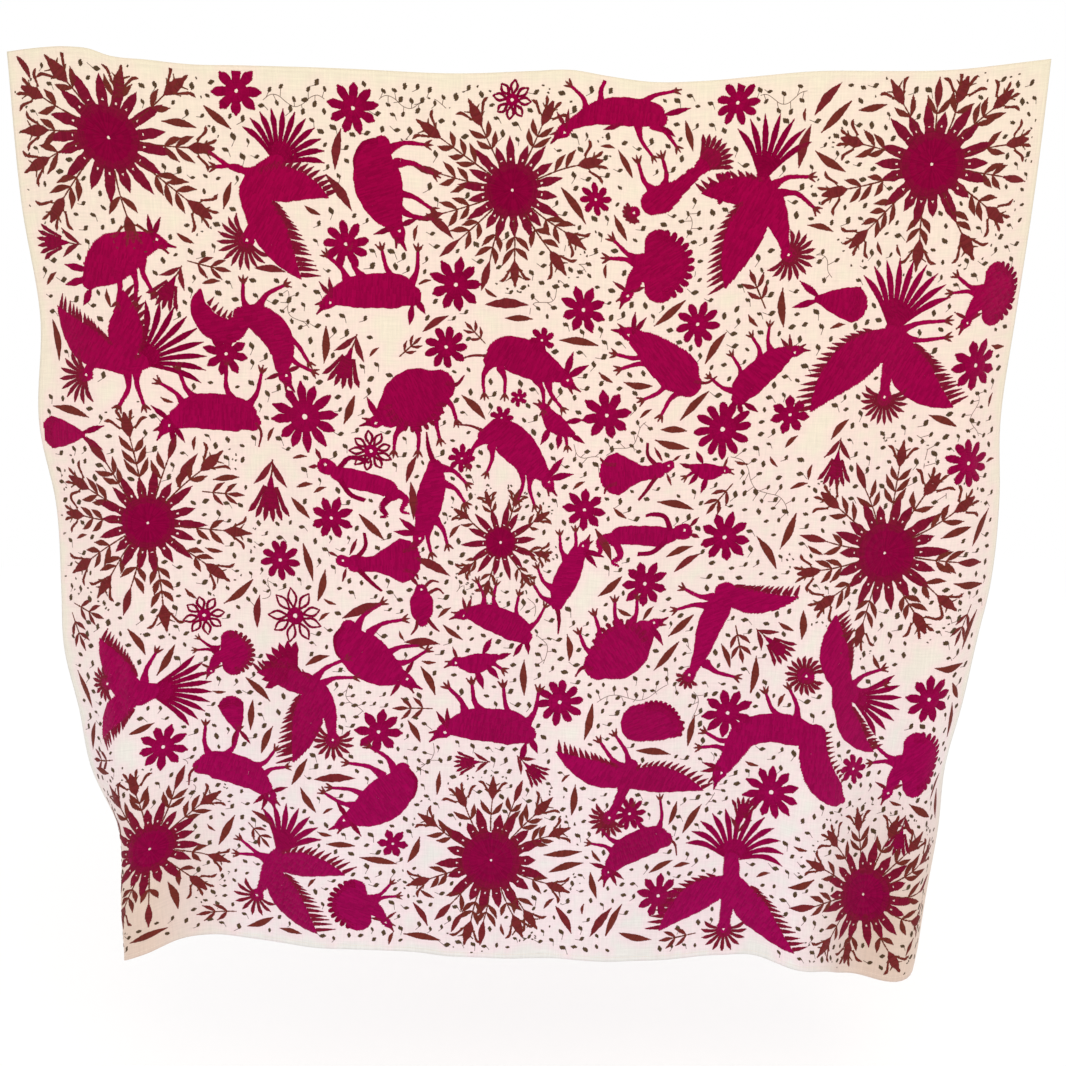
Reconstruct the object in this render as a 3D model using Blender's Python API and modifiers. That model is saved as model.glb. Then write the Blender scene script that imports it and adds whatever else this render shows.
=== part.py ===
"""Otomi embroidered cotton cloth, hanging by its top edge.

The cloth is one cut of cotton with its narrow hem turned in, so it is one solid.
Units are metres, +Z is up.  The origin is the middle of the top edge, where the
cloth is held, the cloth hangs down -Z, and its embroidered face looks along -Y.
Places on the cloth are given flat: across from its left edge, down from its top.
"""

from collections import namedtuple
from functools import lru_cache
from math import pi, radians, sin

import bmesh
import bpy
import numpy as np

# Flat cut
WIDTH = 1.96
HEIGHT = 1.80
THICKNESS = 0.002

# Mesh: columns stand closer together near the two sides, where the cloth turns most
COLUMNS = 60
ROWS = 34
SIDE_CROWDING = 0.35
FOLD_STEP = 0.005

# Slopes are named at these heights, as shares of the way down from top edge to hem
SLOPE_HEIGHTS = (0.0, 0.36, 0.70, 1.0)

# The lower part swings a little to the left
SWING = 0.032
SWING_POWER = 1.6

COTTON_COLOUR = (0.904, 0.761, 0.681, 1.0)
COTTON_ROUGHNESS = 0.9

# A vertical fold: where it runs at the top and at the hem, how wide one flank is,
# and the steepest turn of its flanks in degrees at the four heights.  A ridge stands
# towards the front and a hollow, with negative slopes, goes back.
Fold = namedtuple("Fold", "name top hem flank slope_top slope_upper slope_lower slope_hem")
FOLDS = (
    Fold("left ridge", 0.20, 0.175, 0.050, 2, 6, 15, 22),
    Fold("left hollow", 0.40, 0.360, 0.080, -3, -7, -9, -11),
    Fold("inner left ridge", 0.62, 0.600, 0.085, 2, 8, 10, 12),
    Fold("centre hollow", 0.86, 0.840, 0.080, -3, -9, -11, -10),
    Fold("centre ridge", 1.09, 1.100, 0.085, 3, 9, 11, 12),
    Fold("inner right hollow", 1.33, 1.360, 0.080, -3, -9, -12, -16),
    Fold("right ridge", 1.55, 1.580, 0.070, 3, 9, 12, 17),
    Fold("right hollow", 1.74, 1.755, 0.050, -3, -9, -14, -34),
)

# A side margin that turns back: how wide it is at the top and at the hem, the width
# over which it turns, and how far it has turned in degrees at the four heights
Curl = namedtuple("Curl", "name top hem turn slope_top slope_upper slope_lower slope_hem")
LEFT_CURL = Curl("left margin", 0.150, 0.155, 0.090, 10, 22, 38, 98)
RIGHT_CURL = Curl("right margin", 0.140, 0.130, 0.080, 8, 30, 40, 62)

# How far the top edge and the hem lie above (+) or below (-) a straight level line
Level = namedtuple("Level", "across rise")
TOP_EDGE = (
    Level(0.00, 0.037),
    Level(0.05, 0.041),
    Level(0.12, 0.042),
    Level(0.155, 0.038),
    Level(0.185, 0.027),
    Level(0.26, 0.019),
    Level(0.34, 0.012),
    Level(0.42, 0.011),
    Level(0.50, 0.008),
    Level(0.65, 0.002),
    Level(0.81, -0.003),
    Level(0.98, 0.000),
    Level(1.05, 0.001),
    Level(1.12, -0.010),
    Level(1.20, -0.019),
    Level(1.30, -0.016),
    Level(1.40, -0.008),
    Level(1.50, -0.001),
    Level(1.65, 0.001),
    Level(1.80, 0.006),
    Level(1.96, 0.027),
)
HEM_EDGE = (
    Level(0.00, -0.018),
    Level(0.08, -0.004),
    Level(0.16, 0.034),
    Level(0.22, 0.056),
    Level(0.30, 0.056),
    Level(0.38, 0.044),
    Level(0.50, 0.042),
    Level(0.62, 0.042),
    Level(0.74, 0.018),
    Level(0.82, -0.004),
    Level(0.92, -0.004),
    Level(1.06, 0.014),
    Level(1.20, -0.004),
    Level(1.34, -0.024),
    Level(1.42, -0.012),
    Level(1.50, 0.006),
    Level(1.60, -0.020),
    Level(1.66, -0.034),
    Level(1.73, -0.064),
    Level(1.80, -0.074),
    Level(1.88, -0.064),
    Level(1.96, -0.034),
)
TOP_EDGE_FADE = 2
HEM_EDGE_FADE = 3

# How far the two side edges waver to the left (-) or right (+), at shares of the way down,
# and the width over which that dies out
Waver = namedtuple("Waver", "down left right")
SIDE_WAVERS = (
    Waver(0.00, -0.008, 0.010),
    Waver(0.15, -0.008, 0.008),
    Waver(0.26, 0.006, 0.004),
    Waver(0.38, -0.018, 0.002),
    Waver(0.46, 0.000, 0.018),
    Waver(0.56, -0.006, 0.018),
    Waver(0.62, -0.014, 0.004),
    Waver(0.70, -0.004, -0.010),
    Waver(0.77, -0.008, -0.024),
    Waver(0.85, 0.012, -0.013),
    Waver(0.93, -0.008, -0.008),
    Waver(1.00, -0.014, 0.000),
)
SIDE_REACH = 0.22


def smooth_table(at, places, values):
    """Value at a place on the smooth curve through a short table."""
    places = np.array(places, float)
    values = np.array(values, float)
    slopes = np.gradient(values, places)
    index = np.clip(np.searchsorted(places, at, side="right") - 1, 0, len(places) - 2)
    span = places[index + 1] - places[index]
    s = (at - places[index]) / span
    return (
        (2 * s**3 - 3 * s**2 + 1) * values[index]
        + (s**3 - 2 * s**2 + s) * span * slopes[index]
        + (3 * s**2 - 2 * s**3) * values[index + 1]
        + (s**3 - s**2) * span * slopes[index + 1]
    )


def edge_rise(table, across):
    return smooth_table(across, [row.across for row in table], [row.rise for row in table])


def slope_at(row, down):
    """Steepest turn of a fold or curl in radians, at a share of the way down."""
    slopes = (row.slope_top, row.slope_upper, row.slope_lower, row.slope_hem)
    return radians(smooth_table(down, SLOPE_HEIGHTS, slopes))


def smooth_step(s):
    s = np.clip(s, 0.0, 1.0)
    return s * s * (3 - 2 * s)


def heading(across, down):
    """Direction in which the cloth runs, turned from +X towards +Y, along one level line."""
    turn = np.zeros(len(across))
    for fold in FOLDS:
        centre = fold.top + (fold.hem - fold.top) * down
        s = (across - centre) / fold.flank
        turn += slope_at(fold, down) * s * np.exp(0.5 * (1 - s * s))
    left_start = LEFT_CURL.top + (LEFT_CURL.hem - LEFT_CURL.top) * down
    turn -= slope_at(LEFT_CURL, down) * smooth_step((left_start - across) / LEFT_CURL.turn)
    right_start = WIDTH - (RIGHT_CURL.top + (RIGHT_CURL.hem - RIGHT_CURL.top) * down)
    turn += slope_at(RIGHT_CURL, down) * smooth_step((across - right_start) / RIGHT_CURL.turn)
    return turn


def side_shift(across, down):
    """Sideways shift of a place near one of the two side edges."""
    places = [row.down for row in SIDE_WAVERS]
    left = smooth_table(down, places, [row.left for row in SIDE_WAVERS])
    right = smooth_table(down, places, [row.right for row in SIDE_WAVERS])
    left_share = smooth_step(1 - across / SIDE_REACH)
    right_share = smooth_step(1 - (WIDTH - across) / SIDE_REACH)
    return left * left_share + right * right_share


@lru_cache(maxsize=None)
def level_line(down):
    """The folded line at one height: flat places across, and their X and Y."""
    count = round(WIDTH / FOLD_STEP) + 1
    across = np.linspace(0.0, WIDTH, count)
    turn = heading(across, down)
    middle_turn = (turn[1:] + turn[:-1]) / 2
    step = across[1] - across[0]
    x = np.concatenate([[0.0], np.cumsum(np.cos(middle_turn) * step)])
    y = np.concatenate([[0.0], np.cumsum(np.sin(middle_turn) * step)])
    x -= np.interp(WIDTH / 2, across, x) + SWING * down**SWING_POWER
    y -= y.mean()
    return across, x, y


def hang(across, down):
    """Where a flat place on the cloth hangs; down is a share of the height."""
    places, line_x, line_y = level_line(down)
    top_places, _, top_y = level_line(0.0)
    x = np.interp(across, places, line_x) + side_shift(across, down)
    y = np.interp(across, places, line_y) - np.interp(WIDTH / 2, top_places, top_y)
    top_rise = edge_rise(TOP_EDGE, across) * (1 - down) ** TOP_EDGE_FADE
    hem_rise = edge_rise(HEM_EDGE, across) * down**HEM_EDGE_FADE
    return x, y, -HEIGHT * down + top_rise + hem_rise


def clear_objects():
    for old in list(bpy.data.objects):
        bpy.data.objects.remove(old, do_unlink=True)


def cotton_material():
    material = bpy.data.materials.new("off_white_cotton")
    material.use_nodes = True
    shader = material.node_tree.nodes["Principled BSDF"]
    shader.inputs["Base Color"].default_value = COTTON_COLOUR
    shader.inputs["Roughness"].default_value = COTTON_ROUGHNESS
    shader.inputs["Metallic"].default_value = 0.0
    return material


def hanging_sheet(name):
    """A flat grid laid out on the cloth and then hung in its folds."""
    sheet = bmesh.new()
    bmesh.ops.create_grid(sheet, x_segments=COLUMNS, y_segments=ROWS, size=0.5)
    for vertex in sheet.verts:
        s = vertex.co.x + 0.5
        across = WIDTH * (s - SIDE_CROWDING * sin(2 * pi * s) / (2 * pi))
        down = round(0.5 - vertex.co.y, 6)
        vertex.co = hang(min(max(across, 0.0), WIDTH), down)
    mesh = bpy.data.meshes.new(name)
    sheet.to_mesh(mesh)
    sheet.free()
    mesh.shade_smooth()
    return mesh


def make_cloth(collection):
    mesh = hanging_sheet("cloth")
    cloth = bpy.data.objects.new("cloth", mesh)
    collection.objects.link(cloth)
    cloth.data.materials.append(cotton_material())
    thickness = cloth.modifiers.new("Cotton thickness", "SOLIDIFY")
    thickness.thickness = THICKNESS
    thickness.offset = 0.0
    thickness.use_even_offset = True
    return cloth


def main():
    clear_objects()
    collection = bpy.data.collections.new("otomi_embroidered_cloth")
    bpy.context.scene.collection.children.link(collection)
    make_cloth(collection)


main()
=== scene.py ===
from math import atan2, cos, degrees, pi, radians, sin

import bpy
import numpy as np
from mathutils import Euler, Matrix, Vector


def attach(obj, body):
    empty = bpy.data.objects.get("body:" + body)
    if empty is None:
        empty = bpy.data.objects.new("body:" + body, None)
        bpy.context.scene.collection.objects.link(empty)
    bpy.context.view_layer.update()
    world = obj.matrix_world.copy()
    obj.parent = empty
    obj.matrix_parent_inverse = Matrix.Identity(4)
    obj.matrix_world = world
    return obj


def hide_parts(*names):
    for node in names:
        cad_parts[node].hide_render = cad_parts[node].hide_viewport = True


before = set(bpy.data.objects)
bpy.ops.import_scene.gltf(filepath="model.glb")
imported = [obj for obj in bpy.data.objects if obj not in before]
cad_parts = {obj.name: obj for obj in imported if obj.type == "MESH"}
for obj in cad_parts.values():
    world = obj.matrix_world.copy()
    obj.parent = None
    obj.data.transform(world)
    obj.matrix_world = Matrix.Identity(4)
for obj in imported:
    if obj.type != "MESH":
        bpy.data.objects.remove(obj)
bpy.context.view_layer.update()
print("frame loaded")

# An embroidered cotton cloth hangs by its top edge. Places on it are flat: across from its
# left edge and down from its top edge. The drape works in metres, the embroidery in cm.
rng = np.random.default_rng(27)

cloth = {
    "width": 1.96,  # flat cut
    "height": 1.80,
    "gridStep": 0.012,
    "thickness": 0.0006,
    "hemThickness": 0.0014,  # cloth turned in on itself
    "hemWidth": 0.012,
    "swing": 0.032,  # the lower part hangs a little to the left
    "swingPower": 1.6,
    "puckers": 46,
    "puckerHeight": 0.0016,
    "puckerLength": (0.045, 0.16),
    "quietEdge": 0.05,  # along the edges, where puckers and creases die out
    "slopeHeights": (0.0, 0.36, 0.70, 1.0),  # shares of the way down where slopes are named
    "blushReach": 2.0,  # cm from the sewing over which its dye has tinged the ground
    "sideReach": 0.22,  # width over which a waver of a side edge dies out
    "topFade": 2,
    "hemFade": 3,
}

# Vertical folds: where each runs at the top and at the hem, the width of a flank, and how
# steeply the flanks turn, in degrees, at the four heights. Negative ones are hollows.
folds = [
    {"name": "left ridge", "top": 0.20, "hem": 0.175, "flank": 0.050, "slopes": (2, 6, 15, 22)},
    {"name": "left hollow", "top": 0.40, "hem": 0.360, "flank": 0.080, "slopes": (-3, -7, -9, -11)},
    {"name": "inner left ridge", "top": 0.62, "hem": 0.600, "flank": 0.085, "slopes": (2, 8, 10, 12)},
    {"name": "centre hollow", "top": 0.86, "hem": 0.840, "flank": 0.080, "slopes": (-3, -9, -11, -10)},
    {"name": "centre ridge", "top": 1.09, "hem": 1.100, "flank": 0.085, "slopes": (3, 9, 11, 12)},
    {"name": "inner right hollow", "top": 1.33, "hem": 1.360, "flank": 0.080, "slopes": (-3, -9, -12, -16)},
    {"name": "right ridge", "top": 1.55, "hem": 1.580, "flank": 0.070, "slopes": (3, 9, 12, 17)},
    {"name": "right hollow", "top": 1.74, "hem": 1.755, "flank": 0.050, "slopes": (-3, -9, -14, -34)},
]

# Side margins that turn back: their width, the width over which they turn, and how far
leftCurl = {"top": 0.150, "hem": 0.155, "turn": 0.090, "slopes": (10, 22, 38, 98)}
rightCurl = {"top": 0.140, "hem": 0.130, "turn": 0.080, "slopes": (8, 30, 40, 62)}

# (across, rise) of the two level edges
topEdge = ((0.00, 0.037), (0.05, 0.041), (0.12, 0.042), (0.155, 0.038), (0.185, 0.027),
           (0.26, 0.019), (0.34, 0.012), (0.42, 0.011), (0.50, 0.008), (0.65, 0.002),
           (0.81, -0.003), (0.98, 0.000), (1.05, 0.001), (1.12, -0.010), (1.20, -0.019),
           (1.30, -0.016), (1.40, -0.008), (1.50, -0.001), (1.65, 0.001), (1.80, 0.006),
           (1.96, 0.027))
hemEdge = ((0.00, -0.018), (0.08, -0.004), (0.16, 0.034), (0.22, 0.056), (0.30, 0.056),
           (0.38, 0.044), (0.50, 0.042), (0.62, 0.042), (0.74, 0.018), (0.82, -0.004),
           (0.92, -0.004), (1.06, 0.014), (1.20, -0.004), (1.34, -0.024), (1.42, -0.012),
           (1.50, 0.006), (1.60, -0.020), (1.66, -0.034), (1.73, -0.064), (1.80, -0.074),
           (1.88, -0.064), (1.96, -0.034))

# (share of the way down, shift of the left edge, shift of the right edge)
sideWaves = ((0.00, -0.008, 0.010), (0.15, -0.008, 0.008), (0.26, 0.006, 0.004), (0.38, -0.018, 0.002),
             (0.46, 0.000, 0.018), (0.56, -0.006, 0.018), (0.62, -0.014, 0.004), (0.70, -0.004, -0.010),
             (0.77, -0.008, -0.024), (0.85, 0.012, -0.013), (0.93, -0.008, -0.008), (1.00, -0.014, 0.000))

# Single creases pressed into the cloth: flat places of their two ends, how far they stand up,
# half their width, and how far they bow
creases = [
    {"name": "left margin", "start": (0.132, 0.62), "end": (0.150, 1.44), "rise": -0.0042,
     "width": 0.013, "bow": 0.008},
    {"name": "below the top edge", "start": (0.40, 0.064), "end": (1.20, 0.072), "rise": -0.0016,
     "width": 0.009, "bow": 0.003},
    {"name": "right margin", "start": (1.815, 0.62), "end": (1.800, 1.30), "rise": 0.0034,
     "width": 0.014, "bow": -0.010},
    {"name": "lower right", "start": (1.655, 1.26), "end": (1.690, 1.66), "rise": -0.0036,
     "width": 0.013, "bow": 0.006},
    {"name": "lower left", "start": (0.300, 1.30), "end": (0.270, 1.74), "rise": -0.0030,
     "width": 0.014, "bow": -0.006},
    {"name": "middle", "start": (1.020, 0.96), "end": (1.045, 1.66), "rise": 0.0026,
     "width": 0.014, "bow": 0.010},
]


def smoothTable(at, rows):
    places, values = np.array(rows, float).T
    slopes = np.gradient(values, places)
    index = np.clip(np.searchsorted(places, at, side="right") - 1, 0, len(places) - 2)
    span = places[index + 1] - places[index]
    s = (at - places[index]) / span
    return ((2 * s**3 - 3 * s**2 + 1) * values[index] + (s**3 - 2 * s**2 + s) * span * slopes[index]
            + (3 * s**2 - 2 * s**3) * values[index + 1] + (s**3 - s**2) * span * slopes[index + 1])


def slopeAt(row, down):
    return np.radians(smoothTable(down, list(zip(cloth["slopeHeights"], row["slopes"]))))


def smoothStep(s):
    s = np.clip(s, 0.0, 1.0)
    return s * s * (3 - 2 * s)


def headingAt(across, down):  # which way the cloth runs, turned from +X towards +Y
    turn = np.zeros(across.shape)
    for fold in folds:
        s = (across - fold["top"] - (fold["hem"] - fold["top"]) * down) / fold["flank"]
        turn += slopeAt(fold, down) * s * np.exp(0.5 * (1 - s * s))
    start = leftCurl["top"] + (leftCurl["hem"] - leftCurl["top"]) * down
    turn -= slopeAt(leftCurl, down) * smoothStep((start - across) / leftCurl["turn"])
    start = cloth["width"] - rightCurl["top"] - (rightCurl["hem"] - rightCurl["top"]) * down
    turn += slopeAt(rightCurl, down) * smoothStep((across - start) / rightCurl["turn"])
    return turn


def hangCloth(across, down):
    # across and down are the grid's places; returns positions, rows by columns by 3
    fine = np.linspace(0.0, cloth["width"], 4 * len(across))
    share = (down / cloth["height"])[:, None] * np.ones(len(fine))
    turn = headingAt(np.broadcast_to(fine, share.shape), share)
    middle = (turn[:, 1:] + turn[:, :-1]) / 2
    step = fine[1] - fine[0]
    start = np.zeros((len(down), 1))
    x = np.concatenate([start, np.cumsum(np.cos(middle), 1) * step], 1)
    y = np.concatenate([start, np.cumsum(np.sin(middle), 1) * step], 1)
    x -= np.array([np.interp(cloth["width"] / 2, fine, row) for row in x])[:, None]
    x -= cloth["swing"] * share ** cloth["swingPower"]
    at, left, right = np.array(sideWaves).T
    for edge, shift in ((fine, left), (cloth["width"] - fine, right)):
        waver = smoothTable(down / cloth["height"], list(zip(at, shift)))
        x += waver[:, None] * smoothStep(1 - edge / cloth["sideReach"])
    y -= y.mean(1, keepdims=True)
    y -= np.interp(cloth["width"] / 2, fine, y[0])
    z = (-cloth["height"] * share + smoothTable(fine, topEdge) * (1 - share) ** cloth["topFade"]
         + smoothTable(fine, hemEdge) * share ** cloth["hemFade"])
    return np.stack([np.array([np.interp(across, fine, row) for row in part]) for part in (x, y, z)], 2)


needle = {
    "row": 0.24,  # cm from one stitch to the next
    "thread": 0.32,  # width of a laid thread
    "reach": 1.35,  # longest stitch before the thread is caught down
    "lean": 0.28,  # slant of the stitches across a narrow shape
    "wander": 0.025,  # unevenness of the hand
    "ripple": 0.05,  # a wide shape's drawn outline runs in and out by this much
    "widest": 1.7,  # shapes wider than this are filled in columns
    "hair": 0.13,  # width of a single line of thread
    "hairStitch": 0.46,
    "shortest": 0.10,
    "overlap": 0.10,  # how far stitches of one row run past each other
    "border": 0.9,  # cm along the edges where nothing is sewn
    "curveStep": 0.15,  # cm between points of a drawn outline
    "columnEdge": 0.55,  # a column of stitches doesn't end nearer than this to an outline
    "columnWander": 0.4,
    "rowWander": 0.012,
    "narrowest": 0.2,
}

sewn = {}  # for each family of motifs, rows of x1, y1, x2, y2, width, fineness, lane
laneCount = [0]
clothWide, clothHigh = cloth["width"] * 100, cloth["height"] * 100  # cm


def newLane(count=1):
    laneCount[0] += count
    return laneCount[0] - count


def keepStitches(family, startPoints, endPoints, width, fineness, lane):
    rows = np.zeros((len(startPoints), 7))
    rows[:, 0:2] = startPoints
    rows[:, 2:4] = endPoints
    rows[:, 4] = width
    rows[:, 5] = fineness
    rows[:, 6] = lane
    low = rows[:, :4].min(1)
    high = np.maximum(rows[:, 0:3:2].max(1) - clothWide, rows[:, 1:4:2].max(1) - clothHigh)
    rows = rows[(low > needle["border"]) & (high < -needle["border"])]
    sewn.setdefault(family, []).append(rows)


def toCloth(spot, knots):  # from a motif's own cm, x right and y up, to cm across and down
    knots = np.array(knots, float).reshape(-1, 3)
    turn = radians(spot["turn"])
    x = knots[:, 0] * spot["size"] * (-1 if spot["flip"] else 1)
    y = knots[:, 1] * spot["size"]
    across = spot["across"] + x * cos(turn) - y * sin(turn)
    down = spot["down"] - x * sin(turn) - y * cos(turn)
    return np.stack([across, down, knots[:, 2] * spot["size"]], 1)


def clothAngle(spot, angle):
    return -((180 - angle if spot["flip"] else angle) + spot["turn"])


def curveThrough(knots, step=needle["curveStep"]):  # a smooth path through x, y, width
    ends = np.vstack([2 * knots[0] - knots[1], knots, 2 * knots[-1] - knots[-2]])
    parts = []
    for a, b, c, d in zip(ends, ends[1:], ends[2:], ends[3:]):
        count = max(2, int(np.hypot(*(c - b)[:2]) / step))
        t = np.linspace(0, 1, count, endpoint=False)[:, None]
        parts.append(b + 0.5 * ((c - a) * t + (2 * a - 5 * b + 4 * c - d) * t**2
                                + (3 * b - a - 3 * c + d) * t**3))
    path = np.vstack(parts + [knots[-1:]])
    path[:, 2] = np.maximum(path[:, 2], 0.0)
    return path


def pathSides(path):  # unit vectors along a path and to its side
    along = np.gradient(path[:, :2], axis=0)
    along /= np.maximum(np.hypot(along[:, 0], along[:, 1]), 1e-6)[:, None]
    return along, np.stack([-along[:, 1], along[:, 0]], 1)


def ribbonOutline(path):  # the closed outline of a path with width, its ends rounded
    along, side = pathSides(path)
    half = path[:, 2:3] / 2
    ripple = (rng.uniform(0, 2 * pi)
              + np.arange(len(path))[:, None] * needle["curveStep"] * 2 * pi / rng.uniform(1.8, 2.8))
    half = half + np.minimum(0.06 * half, needle["ripple"]) * np.sin(ripple)
    swing = np.linspace(pi / 2, -pi / 2, 7)[1:-1, None]
    cap = lambda i, way: (path[i, :2] + half[i] * (np.sin(swing) * side[i] * way
                                                   + 0.9 * np.cos(swing) * along[i] * way))
    left, right = path[:, :2] + side * half, path[:, :2] - side * half
    return np.vstack([left, cap(-1, 1), right[::-1], cap(0, -1)])


def pierce(starts, ends, holes):  # leaves round eyelets unsewn
    for x, y, radius in holes:
        way = ends - starts
        length = np.maximum(np.hypot(way[:, 0], way[:, 1]), 1e-6)
        unit = way / length[:, None]
        offset = np.array([x, y]) - starts
        near = (offset * unit).sum(1)
        miss = np.abs(offset[:, 0] * unit[:, 1] - offset[:, 1] * unit[:, 0])
        half = np.sqrt(np.maximum(radius**2 - miss**2, 0.0))
        cut = (half > 0) & (near + half > 0) & (near - half < length)
        first = starts[cut] + unit[cut] * np.maximum(near - half, 0)[cut][:, None]
        second = starts[cut] + unit[cut] * np.minimum(near + half, length)[cut][:, None]
        starts = np.vstack([starts[~cut], starts[cut], second])
        ends = np.vstack([ends[~cut], first, ends[cut]])
        long = np.hypot(*(ends - starts).T) > needle["shortest"]
        starts, ends = starts[long], ends[long]
    return starts, ends


def sewAcross(family, path, fineness=None, holes=()):  # slanting stitches from edge to edge
    run = np.concatenate([[0], np.cumsum(np.hypot(*np.diff(path[:, :2], axis=0).T))])
    count = max(1, int(round(run[-1] / needle["row"])))
    at = (np.arange(count) + 0.5) * run[-1] / count
    along, side = pathSides(path)
    pick = lambda values: np.stack([np.interp(at, run, part) for part in values.T], 1)
    middle, along, side = pick(path), pick(along), pick(side)
    half = np.maximum(middle[:, 2:3], needle["narrowest"]) / 2 + rng.normal(0, needle["wander"], (count, 1))
    half = np.maximum(half, 0.08)
    leaning = side * half - along * half * needle["lean"]
    if fineness is None:
        fineness = np.interp(middle[:, 2].max(), (0.4, 1.3), (0.5, 0.1))
    starts, ends = middle[:, :2] + leaning, middle[:, :2] - leaning
    if len(holes):
        starts, ends = pierce(starts, ends, holes)
    keepStitches(family, starts, ends, needle["thread"], fineness, newLane())


def sewLine(family, path, fineness=0.8):  # a single line of back stitches
    run = np.concatenate([[0], np.cumsum(np.hypot(*np.diff(path[:, :2], axis=0).T))])
    count = max(1, int(round(run[-1] / needle["hairStitch"])))
    at = np.linspace(0, run[-1], count + 1)
    points = np.stack([np.interp(at, run, path[:, i]) for i in (0, 1)], 1)
    keepStitches(family, points[:-1], points[1:], needle["hair"], fineness, -1)


def sewSatin(family, outlines, grain, holes=(), fineness=0.0):
    # fills joined outlines with rows of stitches along the grain, caught down in columns
    turn = radians(grain)
    spin = np.array([[cos(turn), -sin(turn)], [sin(turn), cos(turn)]])
    starts, ends = [], []
    for outline in outlines:
        points = outline @ spin
        ahead = np.roll(points, -1, 0)
        if (points[:, 0] * ahead[:, 1] - ahead[:, 0] * points[:, 1]).sum() < 0:
            points = points[::-1]
            ahead = np.roll(points, -1, 0)
        starts.append(points)
        ends.append(ahead)
    a, b = np.vstack(starts), np.vstack(ends)
    middles = np.array([np.array(hole[:2]) @ spin for hole in holes]).reshape(-1, 2)
    reach = needle["reach"]
    phase = rng.uniform(0, reach)
    lane = newLane(400) + 200  # columns are counted both ways from the middle of their lanes
    rows = []
    for y in np.arange(a[:, 1].min() + needle["row"] / 2, a[:, 1].max(), needle["row"]):
        rising = (a[:, 1] <= y) & (b[:, 1] > y)
        hit = rising | ((b[:, 1] <= y) & (a[:, 1] > y))
        p, q = a[hit], b[hit]
        x = p[:, 0] + (y - p[:, 1]) * (q[:, 0] - p[:, 0]) / (q[:, 1] - p[:, 1])
        order = np.argsort(x)
        x = x[order]
        winding = np.cumsum(np.where(rising[hit], 1, -1)[order])
        spans = []
        for i in range(len(x) - 1):
            if winding[i] != 0:
                if spans and abs(spans[-1][1] - x[i]) < 1e-9:
                    spans[-1][1] = x[i + 1]
                else:
                    spans.append([x[i], x[i + 1]])
        for (holeX, holeY), hole in zip(middles, holes):
            if abs(y - holeY) < hole[2]:
                half = (hole[2] ** 2 - (y - holeY) ** 2) ** 0.5
                parts = []
                for left, right in spans:
                    parts += [[left, min(right, holeX - half)], [max(left, holeX + half), right]]
                spans = [part for part in parts if part[1] > part[0]]
        for left, right in spans:
            if right - left < needle["shortest"]:
                continue
            first, last = np.floor((left - phase) / reach) + 1, np.ceil((right - phase) / reach)
            cuts = phase + np.arange(int(first), int(last)) * reach
            cuts = cuts[(cuts > left + needle["columnEdge"]) & (cuts < right - needle["columnEdge"])]
            cuts = cuts + rng.uniform(-needle["columnWander"], needle["columnWander"], len(cuts))
            marks = np.concatenate([[left + rng.normal(0, needle["wander"])], cuts,
                                    [right + rng.normal(0, needle["wander"])]])
            for c in range(len(marks) - 1):
                column = int(np.floor((marks[c] + marks[c + 1] - 2 * phase) / 2 / reach))
                rows.append((marks[c] - needle["overlap"] * (c > 0),
                             marks[c + 1] + needle["overlap"] * (c < len(cuts)),
                             y + rng.normal(0, needle["rowWander"]), column))
    if not rows:
        return
    rows = np.array(rows)
    back = spin.T
    keepStitches(family, rows[:, [0, 2]] @ back, rows[:, [1, 2]] @ back, needle["thread"], fineness,
                 lane + rows[:, 3])


def sewDisc(family, x, y, radius, hole, fineness=0.0):  # rings of stitches pointing outwards
    rings = max(1, int(round((radius - hole) / needle["reach"])))
    step = (radius - hole) / rings
    for ring in range(rings):
        inner, outer = hole + ring * step, hole + (ring + 1) * step
        count = max(8, int(round(2 * pi * (0.15 * inner + 0.85 * outer) / needle["row"])))
        angle = (np.arange(count) + rng.uniform(0, 1)) * 2 * pi / count
        way = np.stack([np.cos(angle), np.sin(angle)], 1)
        wander = rng.normal(0, needle["wander"], (2, count, 1)) * 1.5
        middle = np.array([x, y])
        starts = middle + way * (inner - 0.16 * (ring > 0) + wander[0])
        ends = middle + way * (outer + 0.10 + wander[1])
        keepStitches(family, starts, ends, needle["thread"], fineness, newLane())


def sewShape(spot, knots, fineness=None, holes=()):  # one shape of the motif, narrow or wide
    path = curveThrough(toCloth(spot, knots))
    if path[:, 2].max() <= needle["widest"]:
        sewAcross(spot["family"], path, fineness, holes)
        return
    way = path[-1] - path[0]
    grain = degrees(atan2(way[1], way[0])) + 90
    sewSatin(spot["family"], [ribbonOutline(path)], grain, holes, fineness or 0.0)


def sewFigure(spot, figure):  # a drawn figure: wide shapes sewn as one, then the narrow ones
    holes = toCloth(spot, figure["eyes"]) if figure.get("eyes") else ()
    outlines = [ribbonOutline(curveThrough(toCloth(spot, knots))) for knots in figure["wide"]]
    sewSatin(spot["family"], outlines, clothAngle(spot, figure.get("grain", 70)), holes)
    for knots in figure["narrow"]:
        sewShape(spot, knots)


# Shapes that many motifs share, in the motif's own cm. Angles are in degrees, 0 to the
# right and 90 upwards. Each gives lists of knots: x, y, width.


def stepFrom(x, y, facing, distance, aside=0.0):
    a = radians(facing)
    return x + distance * cos(a) - aside * sin(a), y + distance * sin(a) + aside * cos(a)


def leafShape(x, y, facing, length, width, bend=0.0):
    return [(x, y, 0.16), (*stepFrom(x, y, facing, length * 0.28, bend * 0.7), width * 0.78),
            (*stepFrom(x, y, facing, length * 0.58, bend), width),
            (*stepFrom(x, y, facing, length, 0), 0.1)]


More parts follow.
